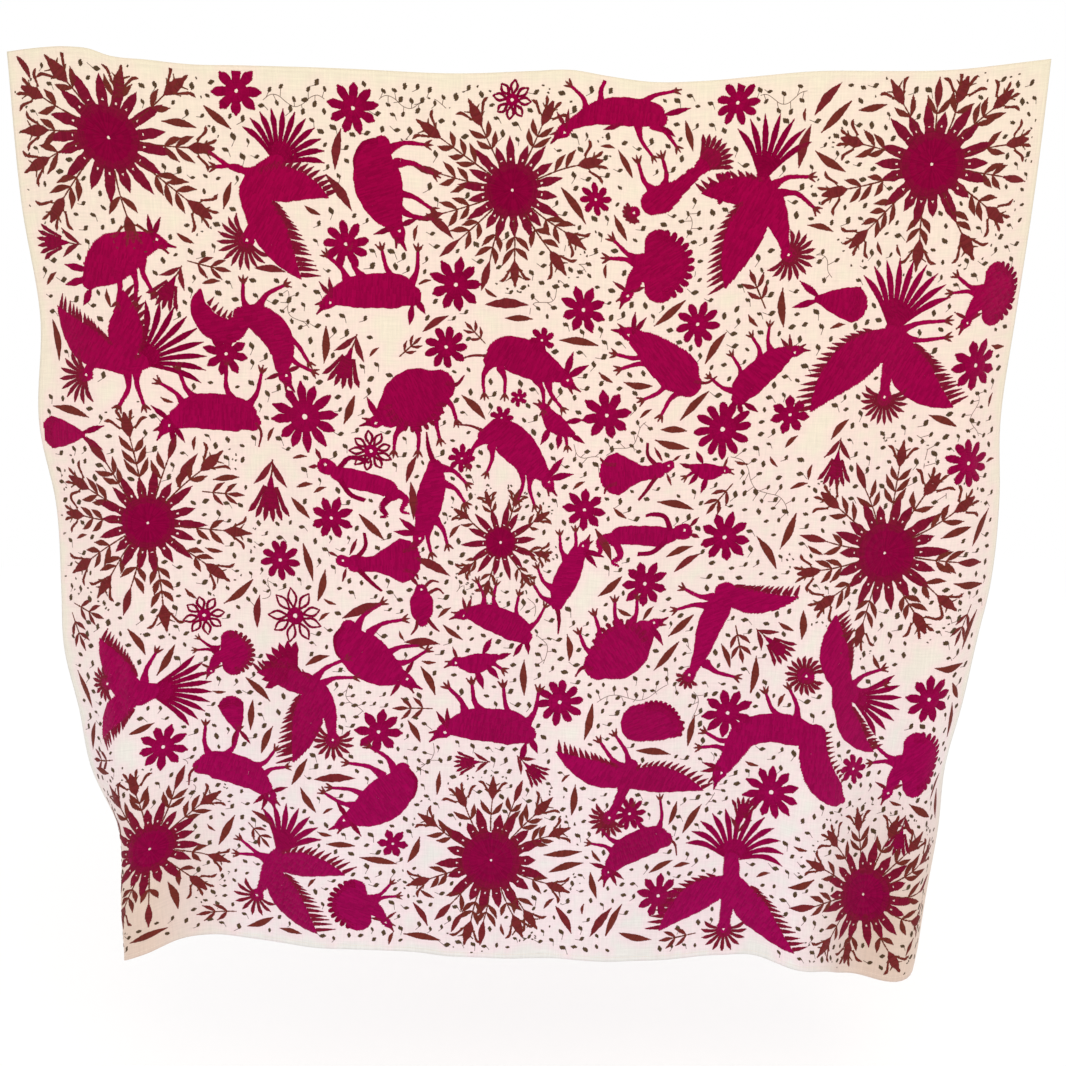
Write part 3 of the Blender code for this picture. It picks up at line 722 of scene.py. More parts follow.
beasts = {
    "hare": beastFigure(
        [[(-7.0, -4.8, 3.0), (-4.6, -2.8, 6.4), (-1.2, -0.2, 7.6), (2.4, 1.6, 6.0), (5.0, 2.4, 3.8)]],
        narrow=[leafShape(-6.6, -3.0, 162, 5.0, 1.3), leafShape(-7.2, -4.4, 186, 4.8, 1.3),
                leafShape(-6.6, -6.0, 232, 3.6, 1.4)],
        head=(6.4, 2.6, -26, 1.1, (62, 92), 3.2),
        legs=[(1.4, -1.8, -92, 6.0, 0.6), (3.4, -0.6, -76, 5.6, -0.6), (-1.2, -3.0, -100, 5.2, 0.5)]),
    "ram": beastFigure(
        [[(0.4, 8.0, 3.0), (-0.8, 5.0, 7.4), (-0.6, 0.6, 9.2), (0.6, -3.6, 7.4), (2.2, -6.8, 3.8)]],
        narrow=[[(-0.4, 8.4, 1.2), (-3.2, 7.6, 0.9), (-4.8, 5.0, 0.7), (-5.0, 3.0, 0.3)]],
        head=(2.9, -8.2, -74, 1.2, (22, 200), 3.4),
        legs=[(1.6, 6.8, 8, 6.8, 0.9), (3.0, 4.4, -16, 7.0, 0.9), (3.2, -1.2, -24, 6.6, 0.7),
              (3.2, -4.0, -12, 6.8, -0.7)], grain=20),
    "goat": beastFigure(
        [[(-7.0, -0.2, 3.6), (-3.6, 0.6, 6.0), (0.8, 1.0, 6.6), (4.8, 1.0, 6.6), (7.6, 0.2, 3.8)]],
        narrow=[leafShape(8.0, 0.0, -58, 3.8, 1.3), leafShape(7.6, -1.2, -100, 4.2, 1.3)],
        head=(-8.4, -1.2, 216, 1.1, (128, 98), 3.0),
        legs=[(4.6, 3.0, 114, 6.2, 0.8), (7.2, 2.4, 78, 6.4, -0.7), (-4.8, 2.6, 130, 5.8, -0.7),
              (-2.0, 3.4, 112, 5.4, 0.6)], grain=86),
    "fox": beastFigure(
        [[(-11.0, -3.4, 1.6), (-7.8, -1.4, 3.0), (-4.4, 0.4, 4.6), (-0.4, 1.4, 5.8), (4.0, 1.8, 5.8),
          (7.6, 1.6, 5.0), (9.4, 0.6, 3.0)]],
        narrow=[leafShape(9.4, 1.6, 12, 6.4, 1.3), leafShape(8.8, -0.4, -34, 4.4, 1.2),
                leafShape(1.2, -0.8, 204, 4.6, 1.1)],
        head=(-11.4, -4.0, 214, 1.1, (120, 84), 3.0),
        legs=[(-6.6, 0.6, 128, 5.4, -0.9), (-3.4, 2.6, 76, 5.8, 0.8), (5.2, 3.8, 20, 7.2, 0.8),
              (4.4, -1.0, -60, 6.6, -0.8), (7.6, -0.6, -42, 6.6, 0.8)], grain=82),
    "hen": beastFigure(
        [[(1.4, 4.2, 5.4), (2.6, 0.2, 9.4), (1.8, -4.2, 6.0)],
         [(0.6, -0.8, 5.0), (-2.2, -1.8, 3.4), (-3.6, -4.2, 2.4)]],
        narrow=scallops(1.8, 0.0, 6.2, -76, 92, 13, 1.0),
        head=(-4.4, -5.6, 236, 0.9, (150, 20), 2.6),
        legs=[(-1.6, 1.2, 150, 6.0, 0.8), (-2.4, 0.0, 174, 5.4, -0.6)], grain=30),
    "squirrel": beastFigure(
        [[(-8.8, 6.0, 0.8), (-9.2, 3.0, 3.4), (-7.2, -0.4, 4.8), (-3.6, -1.6, 4.8), (-0.8, 0.4, 3.4)],
         [(-1.6, 1.6, 2.6), (2.0, 0.8, 5.4), (5.4, -1.8, 6.2), (6.8, -5.4, 5.0), (6.6, -8.4, 3.2)]],
        narrow=[[(x, y, 1.0), (x + dx, y + 1.5, 0.1)] for x, y, dx in
                ((-7.4, 3.4, 1.2), (-6.6, 2.3, 1.2), (-5.7, 1.5, 1.1), (-4.7, 0.9, 0.9), (-3.6, 0.7, 0.7),
                 (-2.5, 1.0, 0.5))],
        head=(7.2, -10.2, -66, 1.1, (200, 20), 3.0),
        legs=[(0.2, 2.4, 96, 5.0, 0.6), (2.4, 3.0, 36, 6.6, 0.9), (7.6, -2.4, -50, 6.6, 0.7),
              (7.6, -5.4, -34, 6.2, -0.7)], grain=10),
    "ox": beastFigure(
        [[(-6.2, -0.8, 4.2), (-2.6, 0.6, 6.8), (2.2, 0.6, 7.2), (6.2, -0.2, 6.4), (8.2, -1.4, 3.6)]],
        narrow=[[(8.8, -1.4, 0.7), (9.8, -3.4, 0.6), (9.2, -6.2, 0.3)]],
        head=(-8.2, -2.0, 226, 1.2, (300, 272, 140), 3.6),
        legs=[(4.2, 3.0, 94, 6.8, 0.8), (7.2, 1.8, 66, 7.2, -0.8), (-2.8, 3.2, 116, 6.0, 0.7),
              (-5.0, 1.6, 136, 6.0, -0.8)], grain=86),
    "turtle": beastFigure(
        [[(-5.4, -2.8, 5.4), (-2.6, -0.8, 10.4), (1.4, 1.4, 10.8), (4.8, 3.0, 6.4)]],
        narrow=scallops(-0.4, 0.2, 6.2, 196, 350, 12, 0.8)
        + [[(5.8, 3.6, 1.0), (8.0, 3.2, 0.8), (9.6, 5.0, 0.3)]],
        head=(-8.0, -4.2, 188, 1.0, (116, 82), 4.2),
        legs=[(5.4, 0.6, -62, 5.0, 0.7), (4.4, -1.8, -86, 5.6, -0.6), (-0.4, -4.8, -84, 5.0, 0.6),
              (-3.0, -5.2, -106, 4.8, -0.6)], grain=118),
    "deer": beastFigure(
        [[(-8.2, 2.4, 3.6), (-5.2, 3.6, 6.8), (-1.0, 2.0, 7.8), (3.0, -0.6, 6.4), (6.2, -2.4, 3.6)]],
        narrow=[[(-8.8, 3.4, 0.7), (-12.0, 3.8, 0.5), (-15.4, 3.2, 0.25)]],
        head=(7.8, -4.0, -48, 1.1, (66, 26), 5.0),
        legs=[(-8.6, 1.4, -104, 6.0, -0.9), (-6.2, 0.4, -88, 5.4, 0.6), (1.4, -2.8, -84, 6.6, 0.8),
              (3.8, -3.6, -66, 6.2, -0.7)], grain=55),
    "hog": beastFigure(
        [[(-5.4, 5.4, 3.6), (-2.8, 3.6, 6.0), (0.8, 0.8, 7.8), (4.0, -1.8, 8.2), (6.0, -4.0, 5.0)]],
        narrow=[[(6.8, -3.2, 0.8), (9.4, -3.6, 0.6), (11.4, -2.4, 0.3)]],
        head=(-7.0, 6.2, 164, 1.1, (84, 52), 3.4),
        legs=[(-3.2, 2.2, 180, 6.0, 0.7), (-2.0, 0.2, 190, 6.4, -0.7), (1.4, -3.0, 214, 6.0, 0.8),
              (4.2, -5.0, 232, 6.0, -0.7)], grain=130),
    "duck": beastFigure(
        [[(-0.8, 2.0, 2.8), (0.6, 0.2, 4.2), (2.8, -1.4, 3.4), (4.8, -2.4, 1.4)]],
        narrow=[leafShape(0.2, -0.6, 240, 4.8, 1.5), leafShape(2.2, -1.6, 262, 4.2, 1.4),
                leafShape(3.2, 0.2, 10, 4.0, 1.3), leafShape(4.0, -2.2, -30, 4.0, 1.2)],
        head=(-1.6, 3.4, 150, 0.8, (60,), 2.4),
        legs=[(2.4, -1.4, -72, 3.6, 0.4)], grain=40),
    "cat": beastFigure(
        [[(0.6, 6.8, 2.8), (0.4, 3.4, 5.0), (-0.4, -0.2, 5.6), (-1.2, -4.0, 4.8), (-2.0, -6.4, 3.2)]],
        narrow=[[(0.4, 7.4, 1.2), (-0.6, 10.4, 0.9), (-1.0, 13.6, 0.3)]],
        head=(-2.8, -8.2, -112, 1.0, (172, 140), 4.4),
        legs=[(2.0, 6.2, -34, 5.8, 0.9), (2.4, 3.0, -44, 5.8, 0.9), (0.8, -4.6, -66, 5.4, 0.6),
              (-0.6, -6.0, -84, 5.2, -0.5)], grain=10),
    "sleeper": beastFigure(
        [[(-5.2, 1.6, 2.6), (-2.4, 0.8, 3.8), (1.2, 0.2, 3.6), (4.4, -0.6, 3.4), (5.6, -1.8, 2.6)],
         [(-7.6, 2.8, 3.0), (-6.4, 2.4, 2.8)]],
        narrow=[[(-4.8, 2.4, 1.1), (-3.0, 4.6, 0.9), (-0.6, 4.6, 0.8), (0.8, 4.0, 0.5)],
                [(-4.6, 0.6, 1.1), (-2.4, -2.2, 0.9), (0.4, -3.2, 0.8)],
                [(5.2, -2.0, 1.6), (3.6, -4.2, 1.2), (4.6, -5.8, 0.8), (3.4, -6.2, 0.4)],
                [(5.0, -0.8, 1.7), (8.0, -2.4, 1.3), (7.4, -4.6, 0.8), (8.8, -5.2, 0.4)],
                leafShape(-8.2, 3.8, 120, 2.4, 0.8), leafShape(-8.6, 2.6, 190, 2.0, 0.8)],
        eyes=[(-7.4, 3.0)], grain=80),
    "lady": beastFigure(
        [[(6.4, 0.4, 10.4), (3.6, 0.4, 7.0), (0.6, 0.2, 4.0), (-2.0, 0.2, 3.2)],
         [(-1.6, 0.2, 3.4), (-3.8, 0.6, 4.0)], [(-5.6, 1.0, 2.7), (-6.8, 1.5, 2.5)]],
        narrow=[[(-3.2, 1.8, 1.2), (-1.2, 4.4, 0.9), (-1.2, 7.4, 0.7)],
                [(-3.2, -0.8, 1.2), (-0.4, -4.2, 0.9), (1.6, -6.2, 0.6)],
                [(6.8, 2.6, 1.0), (9.4, 3.0, 0.8), (10.6, 4.4, 0.4)],
                [(6.8, -1.8, 1.0), (9.2, -2.6, 0.8), (10.0, -4.2, 0.4)],
                leafShape(-4.8, 2.6, 62, 4.0, 0.9), leafShape(-5.8, -0.4, 250, 3.2, 0.8),
                leafShape(-7.4, 2.4, 150, 2.4, 0.7)],
        eyes=[(-6.4, 1.4)], grain=88),
    "beetle": beastFigure(
        [[(0.4, 3.8, 3.0), (0.0, 1.0, 5.6), (-0.4, -2.2, 5.0), (-0.6, -4.2, 2.6)]],
        narrow=[[(1.0, 4.0, 0.9), (3.2, 5.4, 0.7), (5.0, 4.8, 0.3)],
                [(2.0, 2.6, 0.9), (4.4, 3.2, 0.7), (5.6, 1.8, 0.3)],
                [(-1.4, -2.6, 0.9), (-2.4, -5.2, 0.8), (-4.0, -6.8, 0.3)],
                [(0.6, -3.6, 1.0), (2.0, -6.0, 0.8), (3.0, -7.2, 0.3)],
                leafShape(0.0, 4.6, 118, 4.0, 1.0)],
        eyes=[(0.5, 3.8)], grain=20),
    "lion": beastFigure(
        [[(-5.8, -0.8, 4.6), (-3.4, 3.0, 6.2), (1.4, 4.4, 6.2), (6.0, 4.4, 6.4), (9.6, 4.0, 4.4)],
         [(-5.6, -0.8, 4.4), (-7.6, -4.0, 3.6)],
         [(10.6, 4.2, 5.0), (10.6, 0.0, 6.2), (12.6, -5.0, 6.8), (16.4, -8.6, 5.2), (18.6, -9.8, 1.6)]],
        narrow=[[(12.6 + 0.25 * i, 4.4 - 1.05 * i, 0.9),
                 (14.1 + 0.3 * i, 4.8 - 1.05 * i, 0.1)] for i in range(5)]
        + [[(13.9 + 0.75 * i, -1.0 - 0.95 * i, 0.9),
            (15.4 + 0.75 * i, -0.3 - 0.95 * i, 0.1)] for i in range(6)],
        head=(-8.4, -5.4, 246, 1.2, (160, 186), 3.2),
        legs=[(3.4, 6.8, 122, 5.8, 0.7), (6.6, 7.0, 108, 6.2, -0.7), (-6.4, 1.4, 158, 5.6, 0.7),
              (-7.0, -0.8, 172, 5.6, -0.7)], grain=88),
    "halfmoon": beastFigure(
        [[(-5.6, 0.2, 9.6), (-2.0, 0.0, 9.4), (1.8, -0.8, 8.0), (4.8, -1.8, 5.0)]],
        narrow=scallops(-1.2, -2.4, 7.6, 16, 104, 10, 1.2) + scallops(2.4, -1.2, 4.4, -30, 10, 3, 1.0),
        grain=20),
    "bud": beastFigure(
        [[(-3.8, 0.0, 1.6), (-0.6, 0.2, 4.6), (2.8, 0.4, 6.6)]],
        narrow=scallops(0.4, 0.4, 3.8, -44, 44, 6, 1.1) + [leafShape(-3.6, 0.2, 152, 5.0, 1.2),
                                                             leafShape(-3.6, -0.2, 206, 5.0, 1.2)], grain=90),
}


# Where everything sits on the flat cloth, in cm across and down


def spotAt(family, across, down, size=1.0, turn=0.0, flip=False):
    return {"family": family, "across": across, "down": down, "size": size, "turn": turn, "flip": flip}


# Each sun: core radius, petal reach, petals, how far out its pods start, pod length, and the
# facings of its sprigs. Those in "leafy" end in a leaf and those in "tall" reach further.
suns = [
    {"at": (18, 14.5), "core": 5.4, "reach": 11.0, "petals": 17, "pods": 14.0, "pod": 5.2,
     "sprigs": (36, 82, 128, 156, 180, 200, 232, 277, 325, 357),
     "leafy": (), "tall": (325,)},
    {"at": (94, 21.5), "core": 4.8, "reach": 9.4, "petals": 18, "pods": 13.8, "pod": 4.8,
     "sprigs": (63, 117, 144, 21, 318, 274, 300, 198, 222, 248, 168),
     "leafy": (198, 222, 248, 168), "tall": (144,)},
    {"at": (175, 17), "core": 5.8, "reach": 10.8, "petals": 18, "pods": 14.0, "pod": 5.0,
     "sprigs": (118, 88, 66, 44, 14, 346, 322, 296, 262, 226, 198, 164),
     "leafy": (88, 346), "tall": (226, 198)},
    {"at": (21, 86.5), "core": 5.0, "reach": 10.0, "petals": 18, "pods": 14.0, "pod": 5.0,
     "sprigs": (97, 48, 72, 352, 320, 280, 255, 230, 210, 178, 152, 126),
     "leafy": (72, 255, 126), "tall": (97, 280)},
    {"at": (92, 90), "core": 3.0, "reach": 7.4, "petals": 14, "pods": 7.8, "pod": 3.2,
     "sprigs": (150, 108, 68, 26, 344, 306, 254, 214),
     "leafy": (), "tall": ()},
    {"at": (172, 92), "core": 5.9, "reach": 10.8, "petals": 18, "pods": 14.2, "pod": 5.0,
     "sprigs": (84, 58, 140, 172, 30, 352, 325, 298, 255, 220, 196, 110),
     "leafy": (352, 110, 172), "tall": (84,)},
    {"at": (18.5, 156), "core": 5.0, "reach": 9.8, "petals": 17, "pods": 12.6, "pod": 4.8,
     "sprigs": (97, 62, 35, 338, 310, 268, 245, 215, 150, 124),
     "leafy": (268, 62), "tall": ()},
    {"at": (91, 158), "core": 6.2, "reach": 10.8, "petals": 18, "pods": 13.6, "pod": 4.8,
     "sprigs": (92, 118, 152, 198, 230, 250, 268, 290, 305, 335, 28, 50, 70),
     "leafy": (230, 268, 70), "tall": ()},
    {"at": (175.5, 163), "core": 5.6, "reach": 10.4, "petals": 18, "pods": 13.0, "pod": 4.8,
     "sprigs": (76, 102, 128, 158, 190, 225, 264, 300, 336, 4, 30, 52),
     "leafy": (190, 4), "tall": ()},
]

# across, down, radius, petals
daisies = [
    (42, 4.5, 4.4, 8), (64, 7, 4.6, 9), (110, 23, 3.0, 8), (137, 4.5, 4.1, 9), (135, 20, 3.1, 8),
    (62, 32, 4.4, 9), (83, 39, 4.9, 9), (81, 51, 4.2, 9), (108, 44, 4.2, 8), (131, 46, 4.3, 9),
    (100, 50, 2.6, 7), (37.5, 53, 4.0, 8), (53, 65, 6.5, 12), (113, 64, 4.6, 8), (92, 65, 2.4, 7),
    (95.5, 61, 1.8, 6), (84, 73, 2.8, 8), (137, 67, 5.8, 12), (150, 64.5, 3.6, 7), (187, 55.5, 4.8, 9),
    (187, 74.5, 4.7, 10), (58, 85, 4.1, 8), (47, 94, 4.2, 9), (109, 83, 4.0, 8), (138.5, 89, 4.9, 9),
    (122, 98, 4.7, 9), (105, 123, 4.9, 10), (141, 126, 5.0, 9), (184, 121.5, 4.7, 9), (22, 134, 4.7, 9),
    (67, 130, 4.6, 8), (151, 143, 5.5, 11), (120.5, 147, 3.6, 10), (128, 165.5, 4.8, 9),
    (70, 155, 3.0, 6), (169, 136.5, 3.2, 8),
]
outlinedDaisies = [(94, 5, 3.7, 8), (66, 71.5, 4.2, 9), (31, 106, 4.2, 8), (50, 105.5, 5.8, 9)]

# kind, across, down, and then size, turn and mirroring where they differ from 1, 0 and False
birdPlaces = [
    ("phoenix", 47.5, 23.5), ("greeter", 16, 52), ("plume", 143, 23), ("spread", 170, 51.5),
    ("dove", 122, 21), ("sidefan", 16.5, 121), ("swan", 137, 108), ("lantern", 166, 120.5),
    ("diver", 52.5, 122), ("rooster", 43.5, 161.5), ("glider", 118, 138.5), ("descender", 144, 164.5),
]
beastPlaces = [
    ("hare", 19, 35.5, 1.05, 4), ("ram", 69, 21), ("goat", 67, 41.5), ("fox", 114, 7.5, 0.9),
    ("hen", 121, 34.5, 1.05), ("hen", 188, 42, 0.9), ("hen", 35, 114, 0.72),
    ("hen", 181.5, 135, 1.0, 6), ("hen", 64, 169, 0.9, 10, True), ("squirrel", 42, 47), ("ox", 34, 65),
    ("turtle", 75, 61.5), ("turtle", 117, 111.5, 1.0, 186), ("deer", 97.5, 55, 0.92, 6),
    ("hog", 124, 54), ("goat", 144.5, 56.5, 0.84, 46, True), ("duck", 102, 66, 0.9),
    ("deer", 95.5, 72.5, 0.92, -14), ("cat", 78, 81, 0.98), ("sleeper", 64.5, 78, 1.05, -4),
    ("lady", 121, 75.5, 0.84, 4, True), ("duck", 135, 76, 0.8, -50, True),
    ("sleeper", 121.5, 88.5, 1.1, -14, True), ("lady", 66, 94.5, 0.9, 4), ("cat", 105.5, 97, 0.86, 170),
    ("beetle", 76, 103, 0.85, 10), ("goat", 91.5, 107, 0.86, -24), ("duck", 86.5, 116, 1.0, 50),
    ("ram", 65.5, 114, 1.0, 36), ("ox", 37, 141, 0.95, -20, True), ("ram", 67.5, 145, 1.02, -36, True),
    ("goat", 90, 129.5, 1.1, -6), ("halfmoon", 126, 127.5, 0.84), ("ox", 122, 155, 0.9, 24),
    ("lion", 148.5, 133.5), ("bud", 158, 43, 1.05, -12), ("bud", 6, 69, 0.95, 172),
    ("bud", 36.5, 128, 0.8, 100),
]

# across, down, size, turn
fanFlowers = [
    (28.5, 39, 0.85, 240), (62.5, 52, 1.0, 250), (45.5, 77.5, 1.15, 265), (160, 72, 0.9, 265),
    (148, 110, 0.85, -40), (88, 136.5, 0.7, 185), (98, 136.5, 0.75, -42), (8.5, 34, 0.85, 175),
    (145, 150, 0.75, 80), (182, 148, 0.8, 262),
]

# across, down, length, facing
leaves = [
    (3, 3, 5, -60), (61, 14.5, 7.5, 80), (61, 22.5, 8, -54), (154, 5, 7.6, 50), (150, 13.5, 8, 76),
    (93, 43, 8.6, -2), (79, 46.5, 6, 32), (29, 76, 7.8, 58), (74, 75, 6, 68), (74, 81.5, 7.6, -86),
    (78, 95, 8.4, -28), (64, 104, 8.8, 22), (76, 111, 7.4, -4), (113, 90, 7.4, -62), (131, 94, 6.4, 34),
    (42, 105, 7, 84), (58, 140.5, 8.6, 4), (42, 151, 6, -34), (115, 171, 8, 56), (80, 28, 7, -42),
    (47, 37, 6.2, -6), (107, 171, 7, -60), (84, 172, 5.4, 60), (76, 171, 6, -58),
]

# across, down, length, seeds, turn, stalk
dotSprays = [
    (53, 6, 12, 9, 0, 1.5), (75, 5.5, 13, 9, 0, 1.6), (101, 42, 9, 8, 40, 1.5),
    (145, 4.5, 10, 8, 0, 1.7), (145, 78.5, 17, 12, -44, 2.0), (179.5, 75, 14, 10, -66, 2.2),
    (133, 119, 16, 12, -80, 2.0), (121.5, 121.5, 18, 12, 8, 1.7), (100, 108, 14, 10, -72, 1.6),
    (109, 72, 12, 10, -30, 1.6), (117, 69.5, 12, 10, 38, 1.6), (128.5, 31, 14, 10, -84, 1.7),
    (44, 100.5, 10, 8, 60, 1.6), (61.5, 122, 12, 9, -70, 1.5), (77, 136, 14, 11, 70, 1.8),
    (51, 44, 10, 8, -60, 1.4), (152.5, 33.5, 12, 8, -40, 1.6), (26.5, 142, 10, 8, -76, 1.5),
    (105, 33, 10, 8, -60, 1.4), (188, 65, 9, 7, -86, 1.7), (87.5, 99.5, 9, 8, 10, 1.2),
    (138, 140, 12, 9, -86, 1.5),
]


def toEdge(across, down, facing):  # how far a facing runs before it reaches the border
    x, y = stepFrom(0, 0, -facing, 1)
    limits = [(clothWide - across if x > 0 else across) / max(abs(x), 1e-6),
              (clothHigh - down if y > 0 else down) / max(abs(y), 1e-6)]
    return min(limits) - needle["border"]


for sun in suns:
    spot = spotAt("suns", *sun["at"])
    sprigs = []
    for facing in sun["sprigs"]:
        start = sun["core"] * 1.05
        pod = sun["pod"] * rng.uniform(0.92, 1.08)
        far = sun["pods"] * (1.22 if facing in sun["tall"] else rng.uniform(0.94, 1.06))
        far = min(far, max(toEdge(*sun["at"], facing) - pod * 1.2, sun["core"] * 1.5))
        end = "leaf" if facing in sun["leafy"] else "pod"
        sprigs.append((facing, start, far - start, 3.7 * sun["pod"] / 5, end, pod))
    sewSun(spot, sun["core"], sun["reach"], sun["petals"], sprigs)

for across, down, radius, petals in daisies:
    sewDaisy(spotAt("daisies", across, down), radius, petals)
for across, down, radius, petals in outlinedDaisies:
    sewDaisy(spotAt("daisies", across, down), radius, petals, True)
for kind, *place in birdPlaces:
    sewFigure(spotAt("birds", *place), birds[kind])
for kind, *place in beastPlaces:
    sewFigure(spotAt("beasts", *place), beasts[kind])
for place in fanFlowers:
    sewFanFlower(spotAt("foliage", *place))
for across, down, length, facing in leaves:
    spot = spotAt("foliage", across, down)
    sewShape(spot, leafShape(*stepFrom(0, 0, facing, -length / 2), facing, length, length * 0.22, 0.3), 0.4)


# The open ground between the motifs is filled with leaves, twigs and seeds, as far as they fit
filler = {
    "cell": 0.4,  # cm, how finely the open ground is measured
    "leafClear": 1.0,  # cm kept free round a leaf
    "longestLeaf": 8.0,
    "leaves": ((6.4, 60), (5.0, 50)),  # shortest length and how many, the longest first
    "leafMargin": 0.45,  # cm, the half width that a leaf needs besides
    "twigRoom": 2.9,  # cm of open ground round a twig with leaves in pairs
    "border": 1.8,  # cm along the edges that stay open
    "leaflets": 0.32,  # share of the seeds that are small leaves instead, where there is room
    "seedClear": 0.9,
    "seedSpacing": 2.4,
    "seeded": 0.80,  # share of the open ground where seeds are strewn
    "farthest": 6.0,
}


def openGround(border):  # how far each cell is from the nearest stitch or the border, in cm
    cell = filler["cell"]
    shape = (int(clothHigh / cell), int(clothWide / cell))
    distance = np.full(shape, filler["farthest"])
    for parts in sewn.values():
        rows = np.vstack(parts)
        for share in (0, 0.25, 0.5, 0.75, 1):
            spots = (rows[:, 0:2] * (1 - share) + rows[:, 2:4] * share) / cell
            i, j = spots[:, 1].astype(int), spots[:, 0].astype(int)
            distance[i.clip(0, shape[0] - 1), j.clip(0, shape[1] - 1)] = 0
    edge = int(border / cell)
    distance[:edge] = distance[shape[0] - edge:] = 0
    distance[:, :edge] = distance[:, shape[1] - edge:] = 0
    for _ in range(int(filler["farthest"] / cell)):  # spreads outwards one cell at a time
        for axis in (0, 1):
            for way in (-1, 1):
                distance = np.minimum(distance, np.roll(distance, way, axis) + cell)
                diagonal = np.roll(np.roll(distance, way, axis), 1, 1 - axis) + cell * 1.41
                distance = np.minimum(distance, diagonal)
    return distance


def roomAt(across, down):
    i = (np.asarray(down) / filler["cell"]).astype(int).clip(0, ground.shape[0] - 1)
    j = (np.asarray(across) / filler["cell"]).astype(int).clip(0, ground.shape[1] - 1)
    return ground[i, j]


def takeGround(across, down, radius):  # a new shape covers a round patch of ground
    cell = filler["cell"]
    reach = int((filler["farthest"] + radius) / cell) + 1
    i, j = int(down / cell), int(across / cell)
    top, left = max(0, i - reach), max(0, j - reach)
    patch = ground[top:i + reach + 1, left:j + reach + 1]
    y, x = np.mgrid[top:top + patch.shape[0], left:left + patch.shape[1]]
    distance = np.hypot((y + 0.5) * cell - down, (x + 0.5) * cell - across) - radius
    np.minimum(patch, np.maximum(distance, 0), out=patch)


def longestThrough(across, down):  # the longest leaf that fits at a place, and its facing
    best = (0.0, 0.0, across, down)
    for facing in np.arange(0, 180, 15) + rng.uniform(-7, 7):
        ends = []
        for way in (1, -1):
            far = 0.0
            while far < filler["longestLeaf"] * 0.6:
                x, y = stepFrom(across, down, facing, way * (far + 0.4))
                if roomAt(x, y) < filler["leafClear"] + 0.25:
                    break
                far += 0.4
            ends.append(far)
        length = min(sum(ends), filler["longestLeaf"])
        if length > best[0]:
            best = (length, facing, *stepFrom(across, down, facing, (ends[0] - ends[1]) / 2))
    return best


ground = openGround(filler["border"])
for across, down, length, seeds, turn, stalk in dotSprays:
    sewDotSpray(spotAt("seeds", across, down, 1.0, turn), length, seeds, stalk)
places = np.argwhere(ground > 0)
places = places[rng.permutation(len(places))]
for wanted, count in filler["leaves"]:
    for i, j in places[: len(places) // 4]:
        if count == 0:
            break
        if ground[i, j] < filler["leafClear"] + filler["leafMargin"]:
            continue
        here = (j + 0.5) * filler["cell"], (i + 0.5) * filler["cell"]
        length, facing, across, down = longestThrough(*here)
        if length < wanted:
            continue
        count -= 1
        spot = spotAt("foliage", across, down)
        tilt = -facing if rng.uniform() < 0.5 else 180 - facing
        root = stepFrom(0, 0, tilt, -length / 2)
        width = length * rng.uniform(0.2, 0.25)
        if roomAt(across, down) > filler["twigRoom"] and length > 5:  # a twig with leaves in pairs
            sewShape(spot, [(*root, 0.25), (0, 0, 0.3), (*stepFrom(*root, tilt, length * 0.8), 0.25)], 0.6)
            for share in (0.25, 0.55):
                for side in (-1, 1):
                    foot = stepFrom(*root, tilt, length * share)
                    sewShape(spot, leafShape(*foot, tilt + side * rng.uniform(34, 48),
                                             length * 0.4, length * 0.11, side * 0.2), 0.45)
            foot = stepFrom(*root, tilt, length * 0.62)
            sewShape(spot, leafShape(*foot, tilt, length * 0.42, length * 0.12), 0.45)
        else:
            sewShape(spot, leafShape(*root, tilt, length, min(width, 1.5), rng.uniform(-0.4, 0.4)), 0.5)
        for share in np.linspace(-0.5, 0.5, 7):
            radius = 0.4 if abs(share) > 0.4 else width * 0.5
            takeGround(*stepFrom(across, down, facing, length * share), radius)

waves = rng.uniform(0, 2 * pi, (6, 3)) + np.zeros((6, 3))
pitch = rng.uniform(14, 34, 6)


def seedDrift(across, down):  # slow waves over the cloth, as a share from 0 to 1
    total = sum(sin((across * cos(wave[0]) + down * sin(wave[0])) * 2 * pi / span + wave[1])
                for wave, span in zip(waves, pitch))
    return 0.5 + total / 6


for i, j in places:
    across, down = (j + 0.5) * filler["cell"], (i + 0.5) * filler["cell"]
    if ground[i, j] < filler["seedClear"] or seedDrift(across, down) > filler["seeded"]:
        continue
    long = rng.uniform(0.85, 1.45)
    facing = rng.uniform(0, 180)
    spot = spotAt("seeds", across, down)
    if ground[i, j] > 1.5 and rng.uniform() < filler["leaflets"]:
        long = rng.uniform(2.2, 3.6)
        sewShape(spot, leafShape(*stepFrom(0, 0, facing, -long / 2), facing, long, long * 0.27, 0.2), 0.5)
        for share in (-0.35, 0.35):
            takeGround(*stepFrom(across, down, -facing, long * share), 0.9)
        continue
    sewSeed(spot, 0, 0, facing, long)
    if rng.uniform() < 0.5:
        sewLine("seeds", toCloth(spot, [(*stepFrom(0, 0, facing, -long / 2), 0.1),
                                        (*stepFrom(0, 0, facing - 30, -long * 1.3), 0.1)]), 1.0)
    takeGround(across, down, filler["seedSpacing"] - filler["seedClear"])


# The cloth as a surface: positions and outward normals on one regular grid


